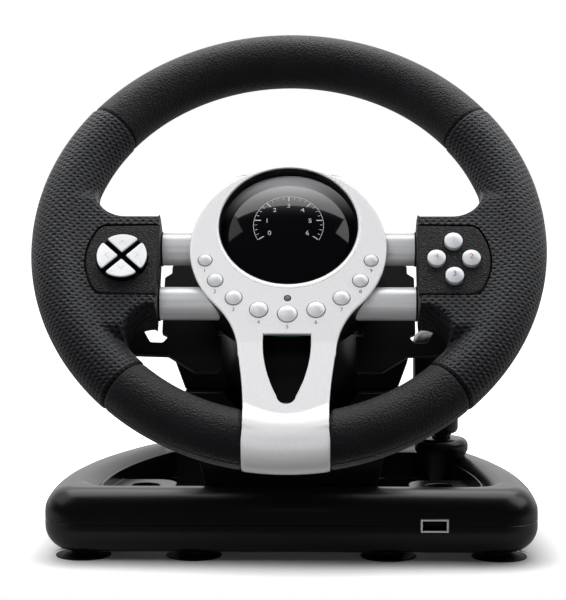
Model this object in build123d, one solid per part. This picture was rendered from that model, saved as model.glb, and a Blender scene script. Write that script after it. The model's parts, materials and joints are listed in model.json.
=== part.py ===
from build123d import *
import math
import os

# A table-top racing wheel for driving games. Millimetres, +Z up, the driver sits towards -Y.
# The steering wheel leans back on a sloping shaft, which runs down into a column. The column stands on
# a loop-shaped base with suction cups. Behind the wheel are two shift paddles, and at the right rear
# of the base is a stick shifter.
# Pieces of the steering wheel are drawn in the wheel's own frame: u to the right, v up in the plane
# of the rim, w towards the driver. They are then placed on the sloping shaft.

# ---- Clearances and walls
GAP = 0.3  # between pieces that pass each other
RUN = 0.05  # radial running clearance of a shaft or pin
WALL = 2.5  # moulded shells
FIT = 0.2  # round a piece that is dropped into its seat

# ---- Steering wheel
WHEEL_HEIGHT = 171.0  # centre of the rim above the table
WHEEL_REACH = 50.0  # centre of the rim in front of the base
TILT = 37.0  # degrees that the rim leans back from upright
RIM_D = 250.0
RIM_TUBE_D = 27.4
WRAP_T = 1.8  # smooth leather over the rim core
GRIP_PROUD = 0.4  # perforated grips stand out by this much
SILVER_PROUD = 0.6  # the faceplate's wrap stands out by this much
CORE_WALL = 2.4
TOP_WRAP_START = 37.2  # degrees round the rim, from the right-hand side
GRIP_END = -47.0

# ---- Faceplate and hub
PLATE_W = 8.0  # front face of the faceplate, towards the driver
PLATE_T = 2.4
RING_R = 47.5
RING_V = -8.3
DOME_R = 33.7
DOME_V = 4.8
DOME_DEPTH = 7.2  # rim of the dome below the front face
DOME_RISE = 8.0
DOME_WALL = 2.0
BEZEL_T = 1.0  # black ring round the dome
TONGUE_TOP_W = 44.8
TONGUE_FOOT_W = 40.0
TONGUE_BLEND_R = 40.0
TONGUE_LIFT = 3.5  # the tongue climbs by this much to reach the rim
SLOT_TOP_W = 23.0
SLOT_TOP_V = -57.2
SLOT_MARGIN = 2.5  # left between the slot's foot and the rim
SLOT_FOOT_R = 4.5
HUB_INSET = 0.8
HUB_WALL = 1.6
HUB_DEPTH = 21.6  # rear cover, behind the faceplate
TONGUE_DEPTH = 11.6
HUB_BOSS_R = 24.0
HUB_BOSS_LENGTH = 18.0
POST_R = 2.6

# ---- Hub buttons
BUTTON_ARC_R = 41.0
BUTTON_ARC_V = -4.9
BUTTON_STEP = 19.1  # degrees from one button to the next
BUTTON_RADII = (4.95, 4.55, 4.25, 3.85, 3.45)  # from the middle one outwards
BUTTON_RISE = 1.8
BUTTON_TRAVEL = 1.0
FLANGE = 0.6
LED_V = -37.6
LED_R = 1.5

# ---- Spoke tubes, grip blocks and their pads
SPOKE_V = -18.3  # middle of the spokes and grip blocks
SPOKE_PITCH = 31.3
SPOKE_TUBE_R = 8.0
SPOKE_TUBE_WALL = 1.2
SPOKE_W = -3.0
TUBE_IN_GRIP = 8.4
COLLAR_PROUD = 0.5  # collars round the tubes at the blocks
COLLAR_T = 0.8
SPIGOT_LENGTH = 12.0
BLOCK_REACH = 49.4  # the blocks reach in this far from the middle of the rim's tube
BLOCK_H = 54.0
BLOCK_HALF_T = 12.0
BLOCK_ROUND = 4.0
BLOCK_EDGE_LEFT = {1: 17.0, -1: 2.0}  # straight edge left above (1) and below (-1), before the blend
PAD_INNER_MARGIN = 0.7  # block left inside the pad
PAD_OUTER_MARGIN = 14.3  # from the pad to the middle of the rim's tube
PAD_H = 42.0
PAD_BOW = 6.0
PAD_CORNER_R = 5.0
PAD_T = 2.4
PAD_LEDGE = 2.5
GRIP_WALL = 2.5

# ---- Keys in the pads
KEY_SHIFT = -0.6  # keys from the middle of the pad
KEY_EDGE_R = 0.4
KEY_TRAVEL = 1.0
DPAD_R = 12.0
DPAD_GROOVE = 2.5
DPAD_RISE = 3.7
ACTION_R = 4.4
ACTION_RISE = 3.0
ACTION_SPREAD_U = 8.3
ACTION_SPREAD_V = 9.8
KEY_FLANGE_T = 1.5
MAT_T = 1.2
BOARD_T = 1.6

# ---- Rumble motors
MOTOR_R = 5.4
MOTOR_LENGTH = 16.0
MOTOR_SHIFT = 4.8  # motors from the middle of the keys
MOTOR_SHAFT_R = 1.0
WEIGHT_R = 4.8
WEIGHT_LENGTH = 5.0

# ---- Paddles
PADDLE_T = 3.0
PADDLE_W = -27.0  # front face of the paddles
PADDLE_PIVOT_U = 33.0
PADDLE_TOP_V = 4.0
PADDLE_INNER_U = 29.0
PADDLE_WING_U = 58.5
PADDLE_TAB = 3.5  # the wings widen by this much beside the grip blocks
PADDLE_TAB_DROP = 5.0  # from the top of the wings to where they start to widen
PADDLE_PAD_MARGIN = 17.3  # from the finger pads to the middle of the rim's tube
PADDLE_DROP = 18.0  # foot of the paddles' wings and pins below the middle of the spokes
PIN_R = 1.5
PIN_LENGTH = 28.0
LUG_T = 3.0

# ---- Steering shaft and what turns with it
SHAFT_R = 6.0
SHAFT_BORE_R = 3.5
SHAFT_FLANGE_R = 18.0
SHAFT_FLANGE_T = 3.0
BEARING_R = 10.0
BEARING_LENGTH = 8.0
GEAR_MODULE = 0.8
SHAFT_TEETH = 30
POT_TEETH = 20
GEAR_T = 5.0
GEAR_BACKLASH = 0.12
POT_R = 8.5
POT_LENGTH = 8.0
POT_SHAFT_R = 2.0
SPRING_COIL_R = 13.0
SPRING_WIRE_R = 1.2
SPRING_TURNS = 6
SPRING_PITCH = 3.2

# ---- Column
BARREL_R = 38.0
BARREL_START = 38.0  # along the shaft, from the centre of the rim
BARREL_LENGTH = 76.0
WEB_T = 4.0
HEAD_FRONT_Y = 28.0
HEAD_LENGTH = 98.0
HEAD_W = 125.0
HEAD_TOP_W = 64.0
HEAD_ROUND = 8.0
HEAD_RISE = 36.0  # top of the head above the shaft line at its front face
HEAD_SHOULDER = 6.0  # shoulder below the shaft line
HEAD_DROP = 24.0  # underside below the shaft line
PEDESTAL_FOOT_W = 91.0
PEDESTAL_TOP_W = 112.0
PEDESTAL_FOOT_Y = 24.0
PEDESTAL_TOP_Y = 14.0
PEDESTAL_BACK_Y = 150.0
PANEL_CUT_W = 72.0
PANEL_CUT_FOOT_W = 44.0
PANEL_CUT_DEPTH = 14.0

# ---- Base loop
BASE_W = 260.0
BASE_DEPTH = 175.0
LOOP_TUBE_W = 29.0
LOOP_HEIGHT = 34.0
LOOP_FLAT = 2.0  # flat strip left along the crest
LOOP_REAR_W = 175.5  # over the bowed sides at the rear, before its corners are rounded
LOOP_WIDEST_Y = 30.0
LOOP_FRONT_R = 20.0
LOOP_REAR_R = 24.0
LOOP_INNER_R = 6.0
SEAM_RISE = 16.4  # parting line above the underside
DECK_DROP = 2.4  # deck under the column, below the loop's crest
DECK_CORNER_R = 10.0
TAB_REACH = 37.0  # in from the loop's tube at its widest
TAB_BACK_Y = 85.0
TAB_TOP_DROP = 8.4
TAB_T = 8.0
TAB_CORNER_R = 12.0
TAB_HOLE_R = 7.75
TAB_HOLE_IN = 16.6  # from the tab's inner edge
TAB_HOLE_Y = 67.0

# ---- Suction cups
CUP_HEIGHT = 4.4  # underside of the base above the table
CUP_R = 14.75
CUP_NECK_R = 7.25
CUP_RIM_T = 1.0
CUP_SKIRT_H = 2.8
CUP_PLUG_R = 3.5
CUP_PLUG_HEAD_R = 5.0
CUP_FRONT_Y = 23.0
CUP_REAR_Y = 154.0
CUP_SIDE_MARGIN = 20.0  # outer front cups from the widest point of the sides
CUP_PITCH = 58.5  # between the two front cups of a side
CUP_REAR_MARGIN = 8.2

# ---- Ports of the base
USB_FROM_CUP = 35.3  # in from the outer front cups
USB_W = 14.4
USB_H = 6.8
USB_OPENING_W = 12.5
USB_OPENING_H = 5.1
USB_DEPTH = 14.0
USB_LIP = 0.6
PEDAL_X = -40.0
PEDAL_W = 13.6
PEDAL_H = 12.0
PEDAL_DEPTH = 16.0
GLAND_R = 5.0
GLAND_BORE_R = 2.3
GLAND_LENGTH = 8.0
GLAND_LIP = 1.5
MAIN_BOARD_W = 64.0
MAIN_BOARD_D = 70.0

# ---- Stick shifter
SHIFTER_OUT = 0.1  # outside the loop's inner edge
SHIFTER_Y = 118.0
BOSS_R = 15.2
BOSS_EDGE_R = 4.0
BOSS_TOP_RISE = 10.6  # above the loop's crest
BOSS_RIM_H = 6.5
BOSS_FOOT_R = 5.0
BOSS_WALL = 2.5
LEVER_R = 4.0
LEVER_COLLAR_R = 5.7
LEVER_COLLAR_T = 1.6
LEVER_THROW = 12.0  # degrees each way
TRUNNION_R = 2.5
PIVOT_DROP = 7.0  # lever pivot below the boss's top
KNOB_W = 25.4
KNOB_SHIFT = -3.6  # the knob leans in over the lever
KNOB_D = 30.0
KNOB_H = 58.0
KNOB_LIFT = 3.6  # knob above the boss's top
KNOB_SEAT = 24.0

# ---- Screws
SCREW_R = 1.4
SCREW_HEAD_R = 2.8
SCREW_HEAD_T = 2.0
SCREW_LENGTH = 9.0
SCREW_POST_R = 3.6  # posts in the base
SCREW_FROM_OUTER_CUP = 22.0
SCREW_FROM_INNER_CUP = 23.0
SCREW_REAR_X = 20.0
FLANGE_SCREW_R = 13.0  # screws round the shaft's flange

# ---- Places worked out from the sizes above
TUBE_R = RIM_TUBE_D / 2
RIM_R = RIM_D / 2 - TUBE_R
CORE_R = TUBE_R - WRAP_T
GRIP_R = TUBE_R + GRIP_PROUD
SILVER_R = TUBE_R + SILVER_PROUD
SLOT_LENGTH = RIM_R - TUBE_R + SLOT_TOP_V - SLOT_MARGIN
BLOCK_INNER_U = RIM_R - BLOCK_REACH
PAD_INNER_U = BLOCK_INNER_U + PAD_INNER_MARGIN
PAD_OUTER_U = RIM_R - PAD_OUTER_MARGIN
KEY_U = (PAD_INNER_U + PAD_OUTER_U) / 2 + KEY_SHIFT
MOTOR_U = KEY_U + MOTOR_SHIFT
PADDLE_PAD_U = RIM_R - PADDLE_PAD_MARGIN
PADDLE_TAB_U = PADDLE_WING_U + PADDLE_TAB
PADDLE_FOOT_V = SPOKE_V - PADDLE_DROP
PLATE_BACK = PLATE_W - PLATE_T
HUB_BACK = PLATE_BACK - HUB_DEPTH
HUB_FLOOR = HUB_BACK + WALL
BOSS_BACK = HUB_BACK - HUB_BOSS_LENGTH
TONGUE_BACK = PLATE_BACK - TONGUE_DEPTH
DOME_SEAT_W = PLATE_W - DOME_DEPTH
BEZEL_FLOOR_W = DOME_SEAT_W - 1.8
HUB_MAT_W = PLATE_BACK - 4.0
HUB_BOARD_W = HUB_MAT_W - MAT_T - 1.2
PAD_TOP_W = BLOCK_HALF_T + 0.2
PAD_BACK_W = PAD_TOP_W - PAD_T
KEY_FLANGE_W = PAD_BACK_W - GAP
GRIP_MAT_W = KEY_FLANGE_W - KEY_FLANGE_T - KEY_TRAVEL - 0.7
GRIP_BOARD_W = GRIP_MAT_W - MAT_T - 0.6
GRIP_FLOOR_W = -BLOCK_HALF_T + GRIP_WALL
TUBE_END_U = BLOCK_INNER_U + TUBE_IN_GRIP
MOTOR_W = GRIP_FLOOR_W + MOTOR_R + 0.3
WRAP_CUT_U = TONGUE_FOOT_W / 2 + 0.5  # where the faceplate's wrap meets the leather
PIN_W = PADDLE_W + 2.0
SLOPE = math.radians(TILT)
SEAM_Z = CUP_HEIGHT + SEAM_RISE
CUP_SEAT_TOP = CUP_HEIGHT + WALL + 1.0
CUP_OUTER_X = BASE_W / 2 - CUP_SIDE_MARGIN
CUP_INNER_X = CUP_OUTER_X - CUP_PITCH
CUP_REAR_X = LOOP_REAR_W / 2 - CUP_REAR_MARGIN
USB_X = CUP_OUTER_X - USB_FROM_CUP
LOOP_TOP = CUP_HEIGHT + LOOP_HEIGHT
DECK_TOP = LOOP_TOP - DECK_DROP
DECK_X = PEDESTAL_FOOT_W / 2
SIDE_IN = (BASE_W - LOOP_REAR_W) / 2
SIDE_RUN = BASE_DEPTH - LOOP_WIDEST_Y
LOOP_SIDE_R = (SIDE_RUN**2 + SIDE_IN**2) / (2 * SIDE_IN)
TAB_INNER_X = BASE_W / 2 - LOOP_TUBE_W - TAB_REACH
TAB_HOLE_X = TAB_INNER_X + TAB_HOLE_IN
HEAD_LINE = WHEEL_HEIGHT - (HEAD_FRONT_Y + WHEEL_REACH) * math.tan(SLOPE)
HEAD_TOP = HEAD_LINE + HEAD_RISE
HEAD_BOTTOM = HEAD_LINE - HEAD_DROP
BARREL_END = BARREL_START + BARREL_LENGTH
FRONT_WEB = BARREL_START + 8.0
REAR_WEB = BARREL_END - WEB_T
POT_U = GEAR_MODULE * (SHAFT_TEETH + POT_TEETH) / 2
POT_BACK = REAR_WEB - GAP
POT_FRONT = POT_BACK - POT_LENGTH
GEAR_BACK = POT_FRONT - 1.2
SHAFT_END = BARREL_END + 6.0
SPRING_START = FRONT_WEB + BEARING_LENGTH + 2.0
SIDE_SLACK = (LOOP_SIDE_R - LOOP_TUBE_W) ** 2 - (SHIFTER_Y - LOOP_WIDEST_Y) ** 2
SHIFTER_X = BASE_W / 2 - LOOP_SIDE_R + math.sqrt(SIDE_SLACK) + SHIFTER_OUT
BOSS_TOP = LOOP_TOP + BOSS_TOP_RISE
PIVOT_Z = BOSS_TOP - PIVOT_DROP

TUBE_HEIGHTS = (SPOKE_V + SPOKE_PITCH / 2, SPOKE_V - SPOKE_PITCH / 2)

wheel_plane = Plane(
    origin=(0, -WHEEL_REACH, WHEEL_HEIGHT),
    x_dir=(1, 0, 0),
    z_dir=(0, -math.cos(SLOPE), math.sin(SLOPE)),
)


# ---- Shapes used more than once
def block(x0, x1, y0, y1, z0, z1):
    return Pos((x0 + x1) / 2, (y0 + y1) / 2, (z0 + z1) / 2) * Box(x1 - x0, y1 - y0, z1 - z0)


def rod(radius, z0, z1, x=0, y=0):
    return Pos(x, y, (z0 + z1) / 2) * Cylinder(radius, z1 - z0)


def pipe(outer, inner, z0, z1, x=0, y=0):
    return rod(outer, z0, z1, x, y) - rod(inner, z0 - 1, z1 + 1, x, y)


def prism(face, z0, z1):
    return extrude(Pos(0, 0, z0) * face, z1 - z0)


def polygon(points, radius=0):
    face = make_face(Polyline(*points, close=True))
    return fillet(face.vertices(), radius) if radius else face


def both_sides(shape):
    return [shape, mirror(shape, about=Plane.YZ)]


def fuse(shapes):
    first, *others = shapes
    for shape in others:
        first = first + shape
    return first


def cup_shape(profile):
    return revolve(Plane.XZ * polygon(profile), Axis.Z)


def ring_segment(outer, inner, start, end):
    """A piece of the rim's tube, between two angles round the wheel."""
    section = Plane.XZ * Pos(RIM_R, 0) * (Circle(outer) - Circle(inner) if inner else Circle(outer))
    return Rot(0, 0, start) * revolve(section, Axis.Z, end - start)


def domed_cap(radius, flange_r, flange_t, bottom, shoulder, top):
    """A button: flange, straight side, and a domed top as part of a sphere."""
    rise = top - shoulder
    sphere_r = (radius**2 + rise**2) / (2 * rise)
    dome = Pos(0, 0, top - sphere_r) * Sphere(sphere_r) & rod(radius, shoulder - 0.5, top)
    return rod(radius, bottom + flange_t / 2, shoulder) + dome + rod(flange_r, bottom, bottom + flange_t)


# ---- Rim
def rim_core():
    core = ring_segment(CORE_R, CORE_R - CORE_WALL, 0, 360)
    reach = RIM_D
    front = core & block(-reach, reach, -reach, reach, 0, reach)
    rear = core & block(-reach, reach, -reach, reach, -reach, 0)
    return front, rear


def pad_face(shrink=0.0):
    """Outline of the pad in the right-hand grip: straight inner side, bowed outer side."""
    inner, outer = PAD_INNER_U + shrink, PAD_OUTER_U - shrink
    top, foot = SPOKE_V + PAD_H / 2 - shrink, SPOKE_V - PAD_H / 2 + shrink
    bow = outer - PAD_BOW
    edges = [
        Line((inner, foot), (bow, foot)),
        ThreePointArc((bow, foot), (outer, SPOKE_V), (bow, top)),
        Line((bow, top), (inner, top)),
        Line((inner, top), (inner, foot)),
    ]
    face = make_face(edges)
    return fillet(face.vertices().sort_by(Axis.X)[2:], max(PAD_CORNER_R - shrink, 1.0))


def block_blend_r(side):
    """Radius of the blend between rim and block that leaves BLOCK_EDGE_LEFT of the block's edge straight."""
    inner_r, edge = RIM_R - GRIP_R, BLOCK_H / 2 + side * SPOKE_V
    end = BLOCK_INNER_U + BLOCK_EDGE_LEFT[side]
    return (inner_r**2 - edge**2 - end**2) / (2 * (inner_r + edge))


def grip():
    """The right-hand grip: a sleeve on the rim, and the block that holds the pad and its keys."""
    inner_r = RIM_R - GRIP_R
    top, foot = SPOKE_V + BLOCK_H / 2, SPOKE_V - BLOCK_H / 2
    outer_u = RIM_R - 2.0
    body = block(BLOCK_INNER_U, outer_u, foot, top, -BLOCK_HALF_T, BLOCK_HALF_T)
    body = fillet(body.edges().filter_by(Axis.X), BLOCK_ROUND)
    body = body & rod(RIM_R, -BLOCK_HALF_T, BLOCK_HALF_T)
    annulus = Circle(RIM_R) - Circle(inner_r)
    outline = annulus + Pos((BLOCK_INNER_U + outer_u) / 2, SPOKE_V) * Rectangle(
        outer_u - BLOCK_INNER_U, BLOCK_H
    )
    for side in (1, -1):
        corner = [v for v in outline.vertices() if abs(v.Y - SPOKE_V - side * BLOCK_H / 2) < 0.1]
        corner = [v for v in corner if abs(math.hypot(v.X, v.Y) - inner_r) < 0.1]
        outline = fillet(corner, block_blend_r(side))
    reach = BLOCK_H / 2 + block_blend_r(1)
    outline = outline & Pos(RIM_R, SPOKE_V) * Rectangle(2 * (RIM_R - BLOCK_INNER_U), 2 * reach)
    web = prism(outline, -0.66 * BLOCK_HALF_T, 0.66 * BLOCK_HALF_T)
    sleeve = ring_segment(GRIP_R, 0, GRIP_END, TOP_WRAP_START)
    body = body + web + sleeve - ring_segment(CORE_R, 0, 0, 360)
    body = body - prism(pad_face(-FIT), PAD_BACK_W, BLOCK_HALF_T + GRIP_R)
    body = body - prism(pad_face(PAD_LEDGE), GRIP_FLOOR_W, BLOCK_HALF_T)
    for v in TUBE_HEIGHTS:
        body = body - Pos(0, v, SPOKE_W) * Rot(0, 90, 0) * rod(SPOKE_TUBE_R, 0, TUBE_END_U)
    return body


# ---- Faceplate and hub
def foot_slab(half_width):
    """The rim's lowest part, between two upright cuts."""
    return block(-half_width, half_width, -RIM_D, -RIM_R / 2, -RIM_D / 2, RIM_D / 2)


def lower_wrap():
    return ring_segment(TUBE_R, CORE_R, -90, GRIP_END) - foot_slab(WRAP_CUT_U)


def plate_outline(inset):
    """Ring and tongue, seen square on, with a wide concave blend between them."""
    half_top, half_foot = TONGUE_TOP_W / 2 - inset, TONGUE_FOOT_W / 2 - inset
    join = RING_V - 0.6 * RING_R
    tongue = polygon([(-half_top, join), (half_top, join), (half_foot, -RIM_R), (-half_foot, -RIM_R)])
    outline = Pos(0, RING_V) * Circle(RING_R - inset) + tongue
    corners = [
        v
        for v in outline.vertices()
        if abs(math.hypot(v.X, v.Y - RING_V) - RING_R + inset) < 0.1 and v.Y < join - 1
    ]
    return fillet(corners, TONGUE_BLEND_R + inset)


def side_band(front, depth):
    """The faceplate's side view as a band: flat over the ring, then climbing towards the rim."""
    start, end = RING_V - RING_R - 6.0, -RIM_R
    back = front - depth
    points = [
        (RING_R, front),
        (start, front),
        (end, front + TONGUE_LIFT * 1.2),
        (end, back + TONGUE_LIFT * 1.2),
        (start, back),
        (RING_R, back),
    ]
    return extrude(Plane.YZ * polygon(points), RING_R + 1, both=True)


def slot_face(grow=0.0):
    half = SLOT_TOP_W / 2 + grow
    top, foot = SLOT_TOP_V + grow, SLOT_TOP_V - SLOT_LENGTH - grow
    low_half, low_v = SLOT_FOOT_R * 0.8 + grow, foot + SLOT_FOOT_R * 0.8
    mid_half, mid_v = half * 0.80, top - SLOT_LENGTH * 0.5
    edges = [
        Line((half, top), (-half, top)),
        ThreePointArc((-half, top), (-mid_half, mid_v), (-low_half, low_v)),
        ThreePointArc((-low_half, low_v), (0, foot), (low_half, low_v)),
        ThreePointArc((low_half, low_v), (mid_half, mid_v), (half, top)),
    ]
    return make_face(edges)


def button_places():
    """Centre and radius of each hub button, from the left end of the arc to the right end."""
    places = []
    for step in range(-4, 5):
        angle = math.radians(-90 + step * BUTTON_STEP)
        centre = (BUTTON_ARC_R * math.cos(angle), BUTTON_ARC_V + BUTTON_ARC_R * math.sin(angle))
        places.append((centre, BUTTON_RADII[abs(step)]))
    return places


def post_places():
    """Screw posts under the faceplate: two beside the dome, two beside the slot; with their floors."""
    high_u, high_v = RING_R - 8.9, DOME_V + 3.2
    low_u, low_v = SLOT_TOP_W / 2 + 4.7, SLOT_TOP_V - 4.8
    high = [(side * high_u, high_v, HUB_FLOOR) for side in (-1, 1)]
    low = [(side * low_u, low_v, TONGUE_BACK + HUB_WALL) for side in (-1, 1)]
    return high + low


def faceplate():
    plate = prism(plate_outline(0), 0, 4 * PLATE_W) & side_band(PLATE_W, PLATE_T)
    plate = plate - ring_segment((CORE_R + SILVER_R) / 2, 0, 0, 360)
    plate = plate + (ring_segment(SILVER_R, CORE_R, -110, -70) & foot_slab(WRAP_CUT_U))
    plate = plate - rod(DOME_R, -PLATE_W, 2 * PLATE_W, 0, DOME_V)
    plate = plate - prism(slot_face(), -PLATE_W, 3 * PLATE_W) - rod(LED_R + FIT, 0, 2 * PLATE_W, 0, LED_V)
    for (u, v), radius in button_places():
        plate = plate - rod(radius + GAP, -PLATE_W, 2 * PLATE_W, u, v)
    for u, v, floor in post_places():
        plate = plate + pipe(POST_R, SCREW_R, floor, PLATE_BACK + PLATE_T / 4, u, v)
    return plate


def hub_envelope():
    """Outside of the rear cover: deep behind the ring, shallow behind the tongue."""
    ring = prism(Pos(0, RING_V) * Circle(RING_R - HUB_INSET), HUB_BACK, 4 * PLATE_W)
    tongue = prism(plate_outline(HUB_INSET), TONGUE_BACK, 4 * PLATE_W)
    above = side_band(PLATE_W + 4 * PLATE_W, 4 * PLATE_W + PLATE_T)
    return ring + tongue - above - ring_segment(SILVER_R + FIT, 0, 0, 360)


def hub_rear_cover():
    wall = HUB_INSET + HUB_WALL
    hollow = prism(Pos(0, RING_V) * Circle(RING_R - wall), HUB_FLOOR, 4 * PLATE_W)
    tongue = plate_outline(wall) & Pos(0, -RIM_R / 2) * Rectangle(2 * RIM_R, RIM_R)
    tongue = tongue - Pos(0, -RIM_R) * Rectangle(2 * RIM_R, 2 * (SILVER_R + FIT + HUB_WALL + 1))
    hollow = hollow + prism(tongue, TONGUE_BACK + HUB_WALL, 4 * PLATE_W)
    cover = hub_envelope()
    for v in TUBE_HEIGHTS:
        inner_r = SPOKE_TUBE_R - SPOKE_TUBE_WALL
        wall_u = math.sqrt((RING_R - HUB_INSET) ** 2 - (v - RING_V) ** 2)
        spigot = Pos(0, v, SPOKE_W) * Rot(0, 90, 0) * rod(inner_r, -1, wall_u + SPIGOT_LENGTH)
        cover = fuse([cover, *both_sides(spigot)])
    cover = cover + rod(HUB_BOSS_R, BOSS_BACK, HUB_BACK)
    cover = cover - rod(HUB_BOSS_R - WALL, BOSS_BACK - 1, HUB_BACK) - rod(SHAFT_R, BOSS_BACK, HUB_FLOOR + 1)
    cover = cover - hollow - rod(DOME_R, BEZEL_FLOOR_W - FIT, 2 * PLATE_W, 0, DOME_V)
    low, high = PADDLE_FOOT_V, PADDLE_FOOT_V + PIN_LENGTH
    for v0, v1 in ((low, low + LUG_T), (high - LUG_T, high)):
        lug = block(PADDLE_PIVOT_U - 3.2, PADDLE_PIVOT_U + 3.2, v0, v1, PIN_W - 2.6, HUB_BACK)
        cover = fuse([cover, *both_sides(lug)])
    for pin in both_sides(paddle_pin()):
        cover = cover - pin
    for u, v, floor in post_places():
        cover = cover - rod(SCREW_R, floor - HUB_DEPTH, floor + 1, u, v)
    for screw in flange_screws():
        cover = cover - screw
    return cover


def dome_lens():
    radius = DOME_R - BEZEL_T - FIT
    top = DOME_SEAT_W + DOME_RISE
    outer_r = (radius**2 + DOME_RISE**2) / (2 * DOME_RISE)
    ball = Pos(0, DOME_V, top - outer_r)
    shell = ball * Sphere(outer_r) - ball * Sphere(outer_r - DOME_WALL)
    return shell & rod(radius, DOME_SEAT_W, top, 0, DOME_V)


def dome_bezel():
    outer = DOME_R - FIT / 2
    wall = pipe(outer, DOME_R - BEZEL_T, BEZEL_FLOOR_W, PLATE_W - 0.4, 0, DOME_V)
    return wall + pipe(outer, DOME_R - 5.0, BEZEL_FLOOR_W, DOME_SEAT_W, 0, DOME_V)


def crescent(top, thickness):
    """A sheet that lies under the hub buttons: the ring's inside, less the dome's bezel."""
    sheet = rod(RING_R - HUB_INSET - HUB_WALL - 0.5, top - thickness, top, 0, RING_V)
    sheet = sheet - rod(DOME_R + 2.0, top - thickness - 1, top + 1, 0, DOME_V)
    sheet = sheet & block(-RING_R, RING_R, RING_V - RING_R, DOME_V, top - thickness, top)
    for u, v, _ in post_places():
        sheet = sheet - rod(POST_R + GAP, top - thickness - 1, top + 1, u, v)
    return sheet


def hub_button(place):
    (u, v), radius = place
    bottom = HUB_MAT_W + BUTTON_TRAVEL + 0.6
    cap = domed_cap(
        radius, radius + FLANGE, PLATE_BACK - GAP - bottom, bottom, PLATE_W + 0.3, PLATE_W + BUTTON_RISE
    )
    return Pos(u, v) * cap


def flange_screws():
    screws = []
    for quarter in range(4):
        angle = math.radians(45 + 90 * quarter)
        u, v = FLANGE_SCREW_R * math.cos(angle), FLANGE_SCREW_R * math.sin(angle)
        top = HUB_FLOOR + SHAFT_FLANGE_T
        shank = rod(SCREW_R, HUB_BACK + 0.3, top, u, v)
        screws.append(shank + rod(SCREW_HEAD_R, top, top + SCREW_HEAD_T, u, v))
    return screws


def wheel_screws():
    screws = flange_screws()
    for u, v, floor in post_places():
        back = HUB_BACK if floor == HUB_FLOOR else TONGUE_BACK
        shank = rod(SCREW_R, back, back + SCREW_LENGTH, u, v)
        screws.append(shank + rod(SCREW_HEAD_R, back - SCREW_HEAD_T, back, u, v))
    return Compound(screws)


# ---- Spokes, keys and pads
def spoke_tubes():
    envelope = hub_envelope()
    tubes = []
    for v in TUBE_HEIGHTS:
        tube = Pos(0, v, SPOKE_W) * Rot(0, 90, 0) * pipe(
            SPOKE_TUBE_R, SPOKE_TUBE_R - SPOKE_TUBE_WALL, TONGUE_TOP_W / 2, TUBE_END_U
        )
        tube = (tube - envelope).solids().sort_by(Axis.X)[-1]
        tubes += both_sides(tube)
    return Compound(tubes)


def spoke_collars():
    collars = []
    for v in TUBE_HEIGHTS:
        ring = pipe(SPOKE_TUBE_R + COLLAR_PROUD, SPOKE_TUBE_R, BLOCK_INNER_U - COLLAR_T, BLOCK_INNER_U)
        collars += both_sides(Pos(0, v, SPOKE_W) * Rot(0, 90, 0) * ring)
    return Compound(collars)


def dpad_key(angle):
    """One quarter of the direction pad, pointing at angle, with a retaining flange under the pad."""
    corner = DPAD_GROOVE / 2 * math.sqrt(2)
    reach = 2 * DPAD_R
    quarter = polygon([(corner, 0), (corner + reach, reach), (corner + reach, -reach)])
    quarter = quarter & Circle(DPAD_R)
    flange = polygon([(corner, 0), (corner + reach, reach), (corner + reach, -reach)])
    flange = flange & Circle(DPAD_R + 1.5)
    key = prism(quarter, KEY_FLANGE_W - KEY_FLANGE_T, PAD_TOP_W + DPAD_RISE)
    key = fillet(key.faces().sort_by(Axis.Z)[-1].edges(), KEY_EDGE_R)
    key = key + prism(flange, KEY_FLANGE_W - KEY_FLANGE_T, KEY_FLANGE_W)
    return Pos(-KEY_U, SPOKE_V) * Rot(0, 0, angle) * key


ACTION_OFFSETS = {
    "top": (0, ACTION_SPREAD_V),
    "left": (-ACTION_SPREAD_U, 0),
    "right": (ACTION_SPREAD_U, 0),
    "bottom": (0, -ACTION_SPREAD_V),
}


def action_button(offset):
    bottom = KEY_FLANGE_W - KEY_FLANGE_T
    top = PAD_TOP_W + ACTION_RISE
    cap = domed_cap(ACTION_R, ACTION_R + 1.2, KEY_FLANGE_T, bottom, top - 1.2, top)
    return Pos(KEY_U + offset[0], SPOKE_V + offset[1]) * cap


def pad_plate():
    return prism(pad_face(), PAD_BACK_W, PAD_TOP_W)


def pad_left():
    plate = mirror(pad_plate(), about=Plane.YZ)
    return plate - rod(DPAD_R + GAP, 0, 2 * PAD_TOP_W, -KEY_U, SPOKE_V)


def pad_right():
    plate = pad_plate()
    for du, dv in ACTION_OFFSETS.values():
        plate = plate - rod(ACTION_R + GAP, 0, 2 * PAD_TOP_W, KEY_U + du, SPOKE_V + dv)
    return plate


def grip_sheet(top, thickness, shrink, first_u):
    sheet = prism(pad_face(shrink), top - thickness, top)
    return sheet & block(first_u, RIM_R, -RIM_R, RIM_R, top - thickness, top)


def wheel_boards():
    board = grip_sheet(GRIP_BOARD_W, BOARD_T, PAD_LEDGE + 0.5, TUBE_END_U + 1.0)
    return Compound([crescent(HUB_BOARD_W, BOARD_T), *both_sides(board)])


def button_mats():
    mat = grip_sheet(GRIP_MAT_W, MAT_T, PAD_LEDGE + 0.3, PAD_INNER_U)
    return Compound([crescent(HUB_MAT_W, MAT_T), *both_sides(mat)])


# ---- Rumble motors: the motor's axis runs along v
def motor_place(shape):
    return Pos(MOTOR_U, SPOKE_V - PAD_H / 2 + 4.5, MOTOR_W) * Rot(-90, 0, 0) * shape


def rumble_motors():
    body = rod(MOTOR_R, 0, MOTOR_LENGTH)
    body = body - rod(MOTOR_SHAFT_R + RUN, MOTOR_LENGTH - 4.0, MOTOR_LENGTH + 1)
    return Compound(both_sides(motor_place(body)))


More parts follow.
